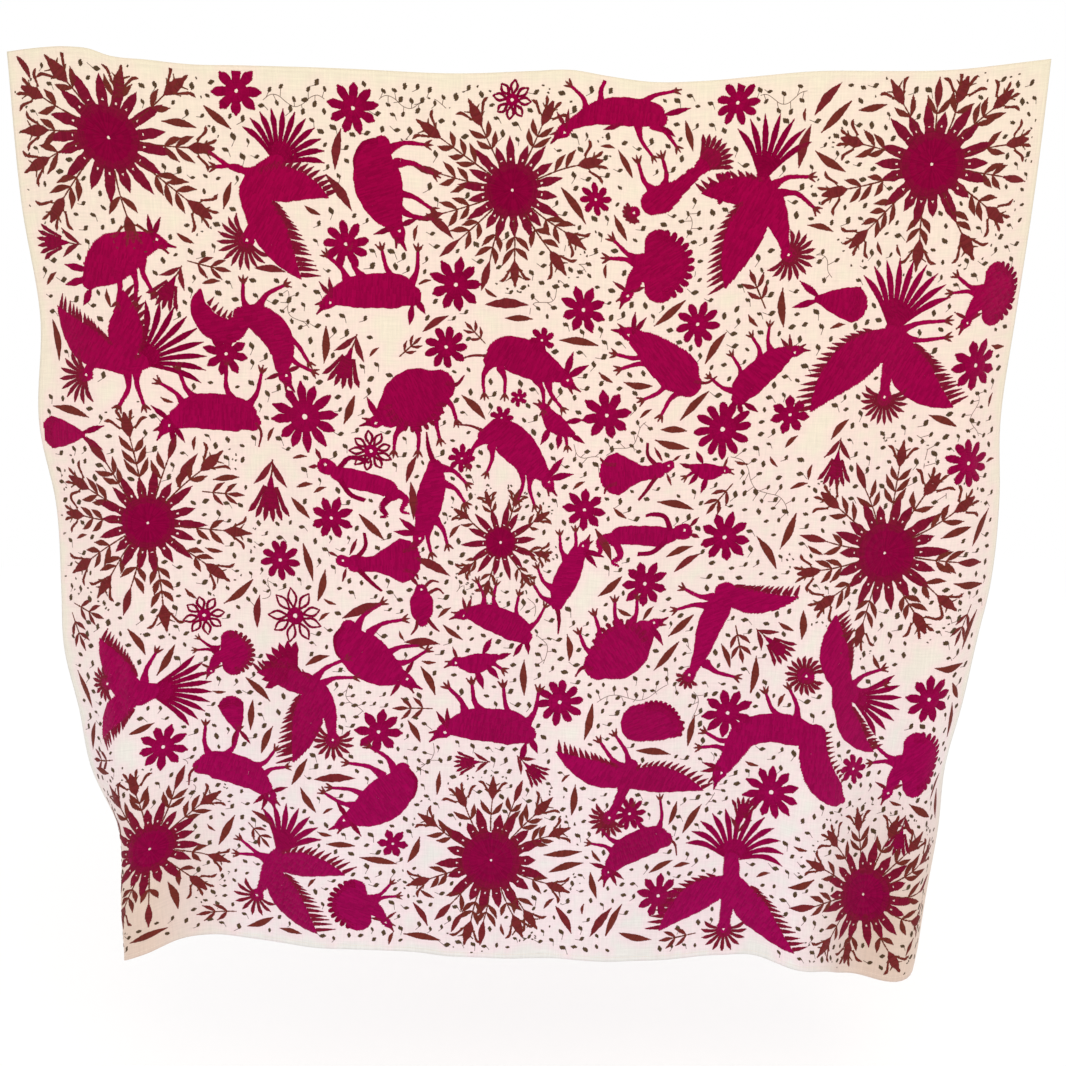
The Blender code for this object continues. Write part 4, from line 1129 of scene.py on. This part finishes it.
def clothGrid():
    hem = (cloth["hemWidth"], cloth["hemWidth"] + 0.0015)
    lines = []
    for size in (cloth["width"], cloth["height"]):
        inner = np.linspace(hem[1], size - hem[1], int(round((size - 2 * hem[1]) / cloth["gridStep"])) + 1)
        lines.append(np.concatenate([[0, hem[0] / 2, hem[0]], inner,
                                     [size - hem[0], size - hem[0] / 2, size]]))
    across, down = lines
    spots = hangCloth(across, down)
    normals = gridNormals(spots)
    rise = np.zeros(spots.shape[:2])
    flatAcross, flatDown = np.meshgrid(across, down)
    for _ in range(cloth["puckers"]):  # small soft creases where the sewing draws the ground in
        x = rng.uniform(cloth["quietEdge"], cloth["width"] - cloth["quietEdge"])
        y = rng.uniform(cloth["quietEdge"], cloth["height"] - cloth["quietEdge"])
        turn = rng.uniform(0, pi)
        long = rng.uniform(*cloth["puckerLength"])
        along = (flatAcross - x) * cos(turn) + (flatDown - y) * sin(turn)
        aside = -(flatAcross - x) * sin(turn) + (flatDown - y) * cos(turn)
        aside = aside + along**2 * rng.uniform(-2, 2)
        wide = long * rng.uniform(0.16, 0.26)
        rise += (rng.choice([-1, 1]) * cloth["puckerHeight"] * rng.uniform(0.4, 1.0)
                 * np.exp(-(along / long) ** 2 * 2 - (aside / wide) ** 2))
    for crease in creases:
        x, y = crease["start"]
        turn = atan2(crease["end"][1] - y, crease["end"][0] - x)
        along = (flatAcross - x) * cos(turn) + (flatDown - y) * sin(turn)
        share = along / np.hypot(crease["end"][0] - x, crease["end"][1] - y)
        aside = -(flatAcross - x) * sin(turn) + (flatDown - y) * cos(turn)
        aside = aside + crease["bow"] * np.sin(share * 2 * pi)
        ends = smoothStep(share / 0.2) * smoothStep((1 - share) / 0.2)
        rise += crease["rise"] * ends * np.exp(-(aside / crease["width"]) ** 2)
    edge = np.minimum(np.minimum(flatAcross, cloth["width"] - flatAcross),
                      np.minimum(flatDown, cloth["height"] - flatDown))
    rise *= smoothStep(edge / cloth["quietEdge"])
    rise += (edge <= hem[0]) * (cloth["hemThickness"] - cloth["thickness"]) / 2
    spots = spots + normals * rise[:, :, None]
    return across, down, spots, gridNormals(spots), edge


def gridNormals(spots):
    downward, sideways = np.gradient(spots, axis=0), np.gradient(spots, axis=1)
    normals = np.cross(downward, sideways)
    return normals / np.linalg.norm(normals, axis=2, keepdims=True)


def lay(across, down, lift):
    # flat places in cm, lifted off the front by metres, where the cloth's own triangles run
    i = np.clip(np.searchsorted(downLines, down / 100, side="right") - 1, 0, len(downLines) - 2)
    j = np.clip(np.searchsorted(acrossLines, across / 100, side="right") - 1, 0, len(acrossLines) - 2)
    b = ((down / 100 - downLines[i]) / (downLines[i + 1] - downLines[i]))[..., None]
    a = ((across / 100 - acrossLines[j]) / (acrossLines[j + 1] - acrossLines[j]))[..., None]
    upper = a + b <= 1
    u, v = np.where(upper, a, 1 - b), np.where(upper, b, 1 - a)

    def mix(grid):
        corner = np.where(upper, grid[i, j], grid[i + 1, j + 1])
        return corner + u * (grid[i, j + 1] - corner) + v * (grid[i + 1, j] - corner)
    return mix(clothSpots) + mix(clothNormals) * np.asarray(lift)[..., None]


def makeMesh(name, points, faceSizes, corners, uv=None, floats=None):
    mesh = bpy.data.meshes.new(name)
    mesh.vertices.add(len(points))
    mesh.vertices.foreach_set("co", points.astype(np.float32).ravel())
    mesh.loops.add(len(corners))
    mesh.loops.foreach_set("vertex_index", corners.astype(np.int32))
    mesh.polygons.add(len(faceSizes))
    mesh.polygons.foreach_set("loop_start", np.concatenate([[0], np.cumsum(faceSizes)[:-1]]).astype(np.int32))
    mesh.update(calc_edges=True)
    mesh.validate()
    if uv is not None:
        mesh.uv_layers.new(name="UVMap").data.foreach_set("uv", uv[corners].astype(np.float32).ravel())
    for key, values in (floats or {}).items():
        mesh.attributes.new(key, "FLOAT", "POINT").data.foreach_set("value", values.astype(np.float32))
    mesh.shade_smooth()
    piece = bpy.data.objects.new(name, mesh)
    bpy.context.scene.collection.objects.link(piece)
    return piece


stitch = {
    "height": 0.00062,  # of a laid thread above the cloth
    "sunk": 0.00006,
    "crestIn": 0.05,  # cm from a stitch's end to its full height
    "backGap": 0.50,  # cm, the widest step that a thread takes on the back
    "hairHeight": 0.0004,
}


def bridge(start, end):  # how far the cloth between a stitch's ends stands above a straight thread
    flat = np.stack([start, end], 1)
    a, b = np.moveaxis(lay(flat[:, :, 0], flat[:, :, 1], np.zeros(flat.shape[:2])), 1, 0)
    outwards = lay(start[:, 0], start[:, 1], np.ones(len(start))) - a
    rise = np.zeros(len(start))
    for share in (0.25, 0.5, 0.75):
        between = start * (1 - share) + end * share
        gap = lay(between[:, 0], between[:, 1], np.zeros(len(start))) - a * (1 - share) - b * share
        rise = np.maximum(rise, (gap * outwards).sum(1))
    return rise


def stitchPiece(name, rows):  # every stitch a small raised thread, a roof on four corners
    start, end, width = rows[:, 0:2], rows[:, 2:4], rows[:, 4:5]
    way = end - start
    length = np.maximum(np.linalg.norm(way, axis=1, keepdims=True), 0.05)
    way = way / length
    side = np.stack([-way[:, 1], way[:, 0]], 1) * width / 2
    inset = np.minimum(stitch["crestIn"], length * 0.3)
    flat = np.stack([start + side, start - side, start + way * inset,
                     end - way * inset, end + side, end - side], 1)
    high = np.where(rows[:, 4] > needle["narrowest"], stitch["height"], stitch["hairHeight"])
    high = high * rng.uniform(0.82, 1.18, len(rows))
    lift = np.full((len(rows), 6), -stitch["sunk"])
    lift[:, 2] = high
    lift[:, 3] = high * rng.uniform(0.92, 1.08, len(rows))
    lift += bridge(start, end)[:, None]
    points = lay(flat[:, :, 0], flat[:, :, 1], lift).reshape(-1, 3)
    pattern = np.array([0, 2, 1, 0, 4, 3, 2, 2, 3, 5, 1, 4, 5, 3])
    corners = (np.arange(len(rows))[:, None] * 6 + pattern).ravel()
    sizes = np.tile([3, 4, 4, 3], len(rows))
    nought, inward, whole = np.zeros(len(rows)), inset[:, 0], length[:, 0]
    run = np.stack([nought, nought, inward, whole - inward, whole, whole], 1) / 100
    uv = np.stack([run, np.broadcast_to([1, -1, 0, 0, 1, -1], run.shape)], 2).reshape(-1, 2)
    tone = np.repeat(rng.uniform(0, 1, len(rows)), 6)
    return makeMesh(name, points, sizes, corners, uv, {"tone": tone, "fineness": np.repeat(rows[:, 5], 6)})


def backRows(rows):  # where the threads cross behind the cloth, at alternate ends
    rows = rows[rows[:, 6] >= 0]
    rows = rows[np.argsort(rows[:, 6], kind="stable")]
    here, after = rows[:-1], rows[1:]
    turn = np.arange(len(here)) % 2 == 0
    a = np.where(turn[:, None], here[:, 2:4], here[:, 0:2])
    b = np.where(turn[:, None], after[:, 2:4], after[:, 0:2])
    gap = np.linalg.norm(b - a, axis=1)
    keep = (here[:, 6] == after[:, 6]) & (gap < stitch["backGap"]) & (gap > 0.05)
    return np.hstack([a, b, here[:, 4:7]])[keep]


def backPiece(name, rows):  # flat little threads, folded along their length
    start, end = rows[:, 0:2], rows[:, 2:4]
    way = end - start
    length = np.linalg.norm(way, axis=1, keepdims=True)
    side = np.stack([-way[:, 1], way[:, 0]], 1) / length * 0.12
    middle = (start + end) / 2
    flat = np.stack([start - way * 0.15, middle + side, middle - side, end + way * 0.15], 1)
    lift = np.full((len(rows), 4), -cloth["thickness"] - 0.0001)
    lift[:, 1:3] = -cloth["thickness"] - 0.0004
    points = lay(flat[:, :, 0], flat[:, :, 1], lift).reshape(-1, 3)
    corners = (np.arange(len(rows))[:, None] * 4 + np.array([0, 3, 1, 0, 2, 3])).ravel()
    run = np.broadcast_to(np.array([0, 0.5, 0.5, 1]), (len(rows), 4)) * length / 100
    uv = np.stack([run, np.broadcast_to([0, 1, -1, 0], run.shape)], 2).reshape(-1, 2)
    tone = np.repeat(rng.uniform(0, 1, len(rows)), 4)
    return makeMesh(name, points, np.full(len(rows) * 2, 3), corners, uv,
                    {"tone": tone, "fineness": np.repeat(rows[:, 5], 4)})


hemStitch = {  # cm
    "stride": 0.52,
    "length": 0.32,
    "inset": 0.95,  # from the edge of the cloth
    "width": 0.09,
    "wander": 0.02,
}


def hemRows():  # running stitches that hold the hem
    inset, wander, length = hemStitch["inset"], hemStitch["wander"], hemStitch["length"]
    rows = []
    for along, fixed, level in ((clothWide, inset, True), (clothWide, clothHigh - inset, True),
                                (clothHigh, inset, False), (clothHigh, clothWide - inset, False)):
        at = np.arange(inset, along - inset, hemStitch["stride"])
        at = at + rng.normal(0, wander, len(at))
        near, far = (fixed + rng.normal(0, wander, (len(at), 2))).T
        ends = [at, near, at + length, far] if level else [near, at, far, at + length]
        width, lane = np.full(len(at), hemStitch["width"]), np.full(len(at), -1.0)
        rows.append(np.stack([*ends, width, np.zeros(len(at)), lane], 1))
    return np.vstack(rows)


acrossLines, downLines, clothSpots, clothNormals, edgeDistance = clothGrid()
bpy.ops.object.select_all(action="DESELECT")
bpy.ops.mesh.primitive_grid_add(x_subdivisions=len(acrossLines) - 1, y_subdivisions=len(downLines) - 1,
                                size=1)
sheet = bpy.context.active_object
sheet.name = "embroideredCloth"
sheet.data.name = "embroideredCloth"
sheet.data.vertices.foreach_set("co", clothSpots[::-1].astype(np.float32).ravel())  # its rows run upwards
flatPlaces = np.stack(np.meshgrid(acrossLines, downLines[::-1]), 2).reshape(-1, 2)
cornerIndex = np.zeros(len(sheet.data.loops), np.int32)
sheet.data.loops.foreach_get("vertex_index", cornerIndex)
sheet.data.uv_layers[0].data.foreach_set("uv", flatPlaces[cornerIndex].astype(np.float32).ravel())
ground = openGround(0)
blush = np.clip(1 - roomAt(*(flatPlaces.T * 100)) / cloth["blushReach"], 0, 1).astype(np.float32)
sheet.data.attributes.new("blush", "FLOAT", "POINT").data.foreach_set("value", blush)
hemGroup = sheet.vertex_groups.new(name="hem")
inHem = (edgeDistance[::-1] <= cloth["hemWidth"] + 1e-6).ravel()
hemGroup.add(np.flatnonzero(inHem).tolist(), 1.0, "REPLACE")
hemGroup.add(np.flatnonzero(~inHem).tolist(), cloth["thickness"] / cloth["hemThickness"], "REPLACE")
solid = sheet.modifiers.new("thickness", "SOLIDIFY")
solid.thickness = cloth["hemThickness"]
solid.offset = -1
solid.vertex_group = "hem"
bpy.ops.object.modifier_apply(modifier="thickness")
sheet.data.shade_smooth()
print("cloth hung:", len(sheet.data.polygons), "faces")

stitchPieces = []
for family, parts in sewn.items():
    rows = np.vstack(parts)
    stitchPieces.append(stitchPiece("stitched_" + family, rows))
    print("sewn", family, len(rows))
behind = np.vstack([backRows(np.vstack(parts)) for parts in sewn.values()])
backStitches = backPiece("crossings_on_the_back", behind)
hemStitches = stitchPiece("hem_stitches", hemRows())
print("crossings on the back", len(behind))



def linear(hexColour):  # sRGB hex to the linear colour that a socket takes
    parts = [int(hexColour[i:i + 2], 16) / 255 for i in (1, 3, 5)]
    return (*[p / 12.92 if p <= 0.04045 else ((p + 0.055) / 1.055) ** 2.4 for p in parts], 1.0)


def addNode(material, kind, settings=None, links=None):  # a node with its settings and its incoming links
    node = material.node_tree.nodes.new(kind)
    for key, value in (settings or {}).items():
        if key in node.inputs.keys() if isinstance(key, str) else True:
            node.inputs[key].default_value = value
        else:
            setattr(node, key, value)
    for key, source in (links or {}).items():
        material.node_tree.links.new(source, node.inputs[key])
    return node


def newMaterial(name):
    material = bpy.data.materials.new(name)
    material.use_nodes = True
    material.node_tree.nodes.clear()
    return material


def rampStops(node, stops):
    ramp = node.color_ramp
    while len(ramp.elements) > 1:
        ramp.elements.remove(ramp.elements[-1])
    ramp.elements[0].position, ramp.elements[0].color = stops[0][0], linear(stops[0][1])
    for position, colour in stops[1:]:
        ramp.elements.new(position).color = linear(colour)


cotton = {
    "threadSpacing": 0.0017,  # a hand-woven ground has about 1 mm; drawn coarser, so that it shows
    # painted light: both rows of colours run from warm cream at the top to cooler grey at the hem, in place
    # of warm light above and cool light below
    "open": ("#E8DEC5", "#E8DCC8", "#E1DED9"),  # the open ground from the top to the hem
    "sewn": ("#EBD9C6", "#EFD5CC", "#EBD5D9"),  # and round the embroidery, tinged by its dye
    "cornerShadeColour": "#D8C0B0",  # painted shade of the folds: the lower corners are warmer and darker
    "cornerShadeAside": (0.60, 0.80),  # metres from the middle over which that painted shade comes in
    "cornerDown": (1.36, 1.66),  # and metres down
    "roughness": 0.86,
}

thread = {
    "twist": 0.0016,  # one turn of the plied thread, coarser than the real one
    # painted light: the fill goes from top to low down the cloth, cooler and more purple towards the hem,
    # where the light is cooler
    "top": "#92033E",
    "low": "#90064C",
    "dark": "#76022E",
    "fine": "#643320",
    "finest": "#4E3F2C",
    "glint": "#D8285C",
    "sheen": "#E04078",
    "roughness": 0.55,
}


def cottonMaterial():  # plain-woven unbleached cotton: matt, creamy, with slubs and a faint grid of threads
    m = newMaterial("plain_woven_cotton")
    place = addNode(m, "ShaderNodeTexCoord")
    flat = addNode(m, "ShaderNodeUVMap", {"uv_map": "UVMap"})
    spacing = 1 / cotton["threadSpacing"]
    parts = addNode(m, "ShaderNodeSeparateXYZ", links={0: flat.outputs[0]})
    waves = []
    for axis in ("X", "Y"):  # warp and weft as two rows of ridges
        turn = addNode(m, "ShaderNodeMath", {"operation": "MULTIPLY", 1: 2 * pi * spacing},
                       {0: parts.outputs[axis]})
        waves.append(addNode(m, "ShaderNodeMath", {"operation": "SINE"}, {0: turn.outputs[0]}))
    weave = addNode(m, "ShaderNodeMath", {"operation": "MULTIPLY"},
                    {0: waves[0].outputs[0], 1: waves[1].outputs[0]})
    slubs = []
    for stretch in ((1, 14, 1), (14, 1, 1)):
        turned = addNode(m, "ShaderNodeMapping", {"Scale": stretch}, {"Vector": flat.outputs[0]})
        slubs.append(addNode(m, "ShaderNodeTexNoise", {"Scale": 22.0, "Detail": 3.0, "Roughness": 0.6},
                             {"Vector": turned.outputs[0]}))
    slub = addNode(m, "ShaderNodeMath", {"operation": "ADD"},
                   {0: slubs[0].outputs[0], 1: slubs[1].outputs[0]})
    height = addNode(m, "ShaderNodeMath", {"operation": "MULTIPLY_ADD", 1: 0.25},
                     {0: weave.outputs[0], 2: slub.outputs[0]})
    bump = addNode(m, "ShaderNodeBump", {"Strength": 0.35, "Distance": 0.0009}, {"Height": height.outputs[0]})
    # painted light: the share of the way down moves the ground from its warm top colours to its cool hem
    # colours
    heightShare = addNode(m, "ShaderNodeMath", {"operation": "MULTIPLY", 1: 1 / cloth["height"]},
                          {0: parts.outputs["Y"]})
    drift = addNode(m, "ShaderNodeTexNoise", {"Scale": 2.3, "Detail": 2.0},
                    {"Vector": place.outputs["Object"]})
    wander = addNode(m, "ShaderNodeMath", {"operation": "MULTIPLY_ADD", 1: 0.30},
                     {0: drift.outputs[0], 2: heightShare.outputs[0]})
    grounds = []
    for colours in (cotton["open"], cotton["sewn"]):
        ramp = addNode(m, "ShaderNodeValToRGB", links={0: wander.outputs[0]})
        rampStops(ramp, list(zip((0.08, 0.50, 1.0), colours)))
        grounds.append(ramp)
    near = addNode(m, "ShaderNodeAttribute", {"attribute_name": "blush"})
    tinged = addNode(m, "ShaderNodeMix", {"data_type": "RGBA"},
                     {0: near.outputs["Fac"], 6: grounds[0].outputs[0], 7: grounds[1].outputs[0]})
    shade = addNode(m, "ShaderNodeMapRange",
                    {"From Min": 0.75, "From Max": 1.3, "To Min": 0.93, "To Max": 1.05},
                    {"Value": slub.outputs[0]})
    # painted shade: towards the lower corners the ground is mixed to a warmer, darker colour, the shadow of
    # the folds there
    aside = addNode(m, "ShaderNodeMath", {"operation": "SUBTRACT", 1: cloth["width"] / 2},
                    {0: parts.outputs["X"]})
    outward = addNode(m, "ShaderNodeMath", {"operation": "ABSOLUTE"}, {0: aside.outputs[0]})
    (side, farSide), (low, lowest) = cotton["cornerShadeAside"], cotton["cornerDown"]
    shadeToSide = addNode(m, "ShaderNodeMapRange", {"From Min": side, "From Max": farSide},
                     {"Value": outward.outputs[0]})
    shadeToHem = addNode(m, "ShaderNodeMapRange", {"From Min": low, "From Max": lowest},
                    {"Value": parts.outputs["Y"]})
    corner = addNode(m, "ShaderNodeMath", {"operation": "MULTIPLY"},
                     {0: shadeToSide.outputs[0], 1: shadeToHem.outputs[0]})
    cornerShaded = addNode(m, "ShaderNodeMix", {"data_type": "RGBA", 7: linear(cotton["cornerShadeColour"])},
                    {0: corner.outputs[0], 6: tinged.outputs[2]})
    tinted = addNode(m, "ShaderNodeVectorMath", {"operation": "SCALE"},
                     {0: cornerShaded.outputs[2], "Scale": shade.outputs[0]})
    skin = addNode(m, "ShaderNodeBsdfPrincipled",
                   {"Roughness": cotton["roughness"], "IOR": 1.45, "Specular IOR Level": 0.25,
                    "Sheen Weight": 0.15, "Sheen Roughness": 0.5},
                   {"Base Color": tinted.outputs[0], "Normal": bump.outputs[0]})
    addNode(m, "ShaderNodeOutputMaterial", links={"Surface": skin.outputs[0]})
    return m


def threadMaterial():  # mercerised cotton floss laid in satin stitch: a soft gloss along each thread
    m = newMaterial("stranded_cotton_floss")
    place = addNode(m, "ShaderNodeTexCoord")
    flat = addNode(m, "ShaderNodeUVMap", {"uv_map": "UVMap"})
    tone = addNode(m, "ShaderNodeAttribute", {"attribute_name": "tone"})
    fineness = addNode(m, "ShaderNodeAttribute", {"attribute_name": "fineness"})
    parts = addNode(m, "ShaderNodeSeparateXYZ", links={0: place.outputs["Object"]})
    # painted light: the fill colour turns cooler and more purple down the cloth
    drop = addNode(m, "ShaderNodeMapRange", {"From Min": -0.2, "From Max": -1.7},
                   {"Value": parts.outputs["Z"]})
    drift = addNode(m, "ShaderNodeTexNoise", {"Scale": 3.1, "Detail": 2.0},
                    {"Vector": place.outputs["Object"]})
    fill = addNode(m, "ShaderNodeMix",
                   {"data_type": "RGBA", 6: linear(thread["top"]), 7: linear(thread["low"])},
                   {0: drop.outputs[0]})
    drifted = addNode(m, "ShaderNodeMapRange", {"From Min": 0.45, "From Max": 0.75, "To Max": 0.3},
                      {"Value": drift.outputs[0]})
    darkShare = addNode(m, "ShaderNodeMath", {"operation": "MULTIPLY_ADD", "use_clamp": True, 1: 5.0},
                        {0: fineness.outputs["Fac"], 2: drifted.outputs[0]})
    deep = addNode(m, "ShaderNodeMix", {"data_type": "RGBA", 7: linear(thread["dark"])},
                   {0: darkShare.outputs[0], 6: fill.outputs[2]})
    someFine = addNode(m, "ShaderNodeMapRange", {"From Min": 0.18, "From Max": 0.6},
                       {"Value": fineness.outputs["Fac"]})
    mostFine = addNode(m, "ShaderNodeMapRange", {"From Min": 0.6, "From Max": 1.0},
                       {"Value": fineness.outputs["Fac"]})
    thin = addNode(m, "ShaderNodeMix", {"data_type": "RGBA", 7: linear(thread["fine"])},
                   {0: someFine.outputs[0], 6: deep.outputs[2]})
    thinnest = addNode(m, "ShaderNodeMix", {"data_type": "RGBA", 7: linear(thread["finest"])},
                       {0: mostFine.outputs[0], 6: thin.outputs[2]})
    value = addNode(m, "ShaderNodeMapRange", {"To Min": 0.84, "To Max": 1.16}, {"Value": tone.outputs["Fac"]})
    colour = addNode(m, "ShaderNodeVectorMath", {"operation": "SCALE"},
                     {0: thinnest.outputs[2], "Scale": value.outputs[0]})
    turned = addNode(m, "ShaderNodeMapping", {"Scale": (1 / thread["twist"], 1.0, 1.0)},
                     {"Vector": flat.outputs[0]})
    twist = addNode(m, "ShaderNodeTexWave", {"bands_direction": "DIAGONAL", "Scale": 0.3, "Distortion": 0.6},
                    {"Vector": turned.outputs[0]})
    bump = addNode(m, "ShaderNodeBump", {"Strength": 0.3, "Distance": 0.0003}, {"Height": twist.outputs[0]})
    skin = addNode(m, "ShaderNodeBsdfPrincipled",
                   {"Roughness": thread["roughness"], "IOR": 1.5, "Specular IOR Level": 0.16,
                    "Specular Tint": linear(thread["glint"]), "Sheen Weight": 0.04, "Sheen Roughness": 0.4,
                    "Sheen Tint": linear(thread["sheen"])},
                   {"Base Color": colour.outputs[0], "Normal": bump.outputs[0]})
    addNode(m, "ShaderNodeOutputMaterial", links={"Surface": skin.outputs[0]})
    return m


hemThread = {
    "shades": ("#D8C8B4", "#EBDFD0"),
    "roughness": 0.8,
}


def hemThreadMaterial():  # undyed sewing cotton
    m = newMaterial("undyed_sewing_thread")
    grain = addNode(m, "ShaderNodeTexNoise", {"Scale": 900.0})
    ramp = addNode(m, "ShaderNodeValToRGB", links={0: grain.outputs[0]})
    rampStops(ramp, list(zip((0.3, 0.7), hemThread["shades"])))
    skin = addNode(m, "ShaderNodeBsdfPrincipled", {"Roughness": hemThread["roughness"]},
                   {"Base Color": ramp.outputs[0]})
    addNode(m, "ShaderNodeOutputMaterial", links={"Surface": skin.outputs[0]})
    return m


clothFinish, flossFinish, hemFinish = cottonMaterial(), threadMaterial(), hemThreadMaterial()
sheet.data.materials.clear()
sheet.data.materials.append(clothFinish)
for piece in stitchPieces + [backStitches]:
    piece.data.materials.append(flossFinish)
hemStitches.data.materials.append(hemFinish)
print("materials made")

view = {
    "place": (-0.049, -2.258, -0.504),
    "tiltDown": 9.45,
    "panRight": 1.17,
    "roll": -0.17,
    "lens": 38.56,
    "sensor": 36.0,
    "floor": -2.30,
    "floorSize": 14,
    "floorColour": "#FFFFFF",
    "skyStrength": 1.0,
}
camera = bpy.data.objects.new("camera", bpy.data.cameras.new("camera"))
camera.data.lens = view["lens"]
camera.data.sensor_width = view["sensor"]
camera.location = view["place"]
aim = Euler((radians(90 - view["tiltDown"]), 0, radians(-view["panRight"]))).to_matrix()
camera.rotation_euler = (aim @ Matrix.Rotation(radians(view["roll"]), 3, "Z")).to_euler()
bpy.context.scene.collection.objects.link(camera)
bpy.context.scene.camera = camera

lamps = [
    {"name": "high_warm_lamp", "place": (0.5, -2.6, 1.9), "aim": (0, 0, -0.5), "size": 2.4, "power": 26,
     "colour": "#FFE8C8"},
    {"name": "low_cool_lamp", "place": (-0.2, -2.4, -1.9), "aim": (0, 0, -1.6), "size": 1.4, "power": 8,
     "colour": "#D6ECFF"},
]
for lamp in lamps:
    light = bpy.data.objects.new(lamp["name"], bpy.data.lights.new(lamp["name"], "AREA"))
    light.data.size = lamp["size"]
    light.data.energy = lamp["power"]
    light.data.color = linear(lamp["colour"])[:3]
    light.location = lamp["place"]
    light.rotation_euler = (Vector(lamp["aim"]) - Vector(lamp["place"])).to_track_quat("-Z", "Y").to_euler()
    bpy.context.scene.collection.objects.link(light)

world = bpy.data.worlds.new("plain_white")
bpy.context.scene.world = world
world.use_nodes = True
world.node_tree.nodes["Background"].inputs["Color"].default_value = (1, 1, 1, 1)
world.node_tree.nodes["Background"].inputs["Strength"].default_value = view["skyStrength"]
bpy.context.scene.view_settings.view_transform = "Standard"

bpy.ops.object.select_all(action="DESELECT")
bpy.ops.mesh.primitive_plane_add(size=view["floorSize"], location=(0, 0, view["floor"]))
floor = bpy.context.active_object
floor.name = "pale_floor"
floorFinish = newMaterial("pale_plaster")
plain = addNode(floorFinish, "ShaderNodeBsdfPrincipled",
                {"Base Color": linear(view["floorColour"]), "Roughness": 1.0, "Specular IOR Level": 0.0})
addNode(floorFinish, "ShaderNodeOutputMaterial", links={"Surface": plain.outputs[0]})
floor.data.materials.append(floorFinish)

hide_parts("cloth")
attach(sheet, "root")
for piece in stitchPieces + [backStitches, hemStitches]:
    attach(piece, "root")

print("stage set")
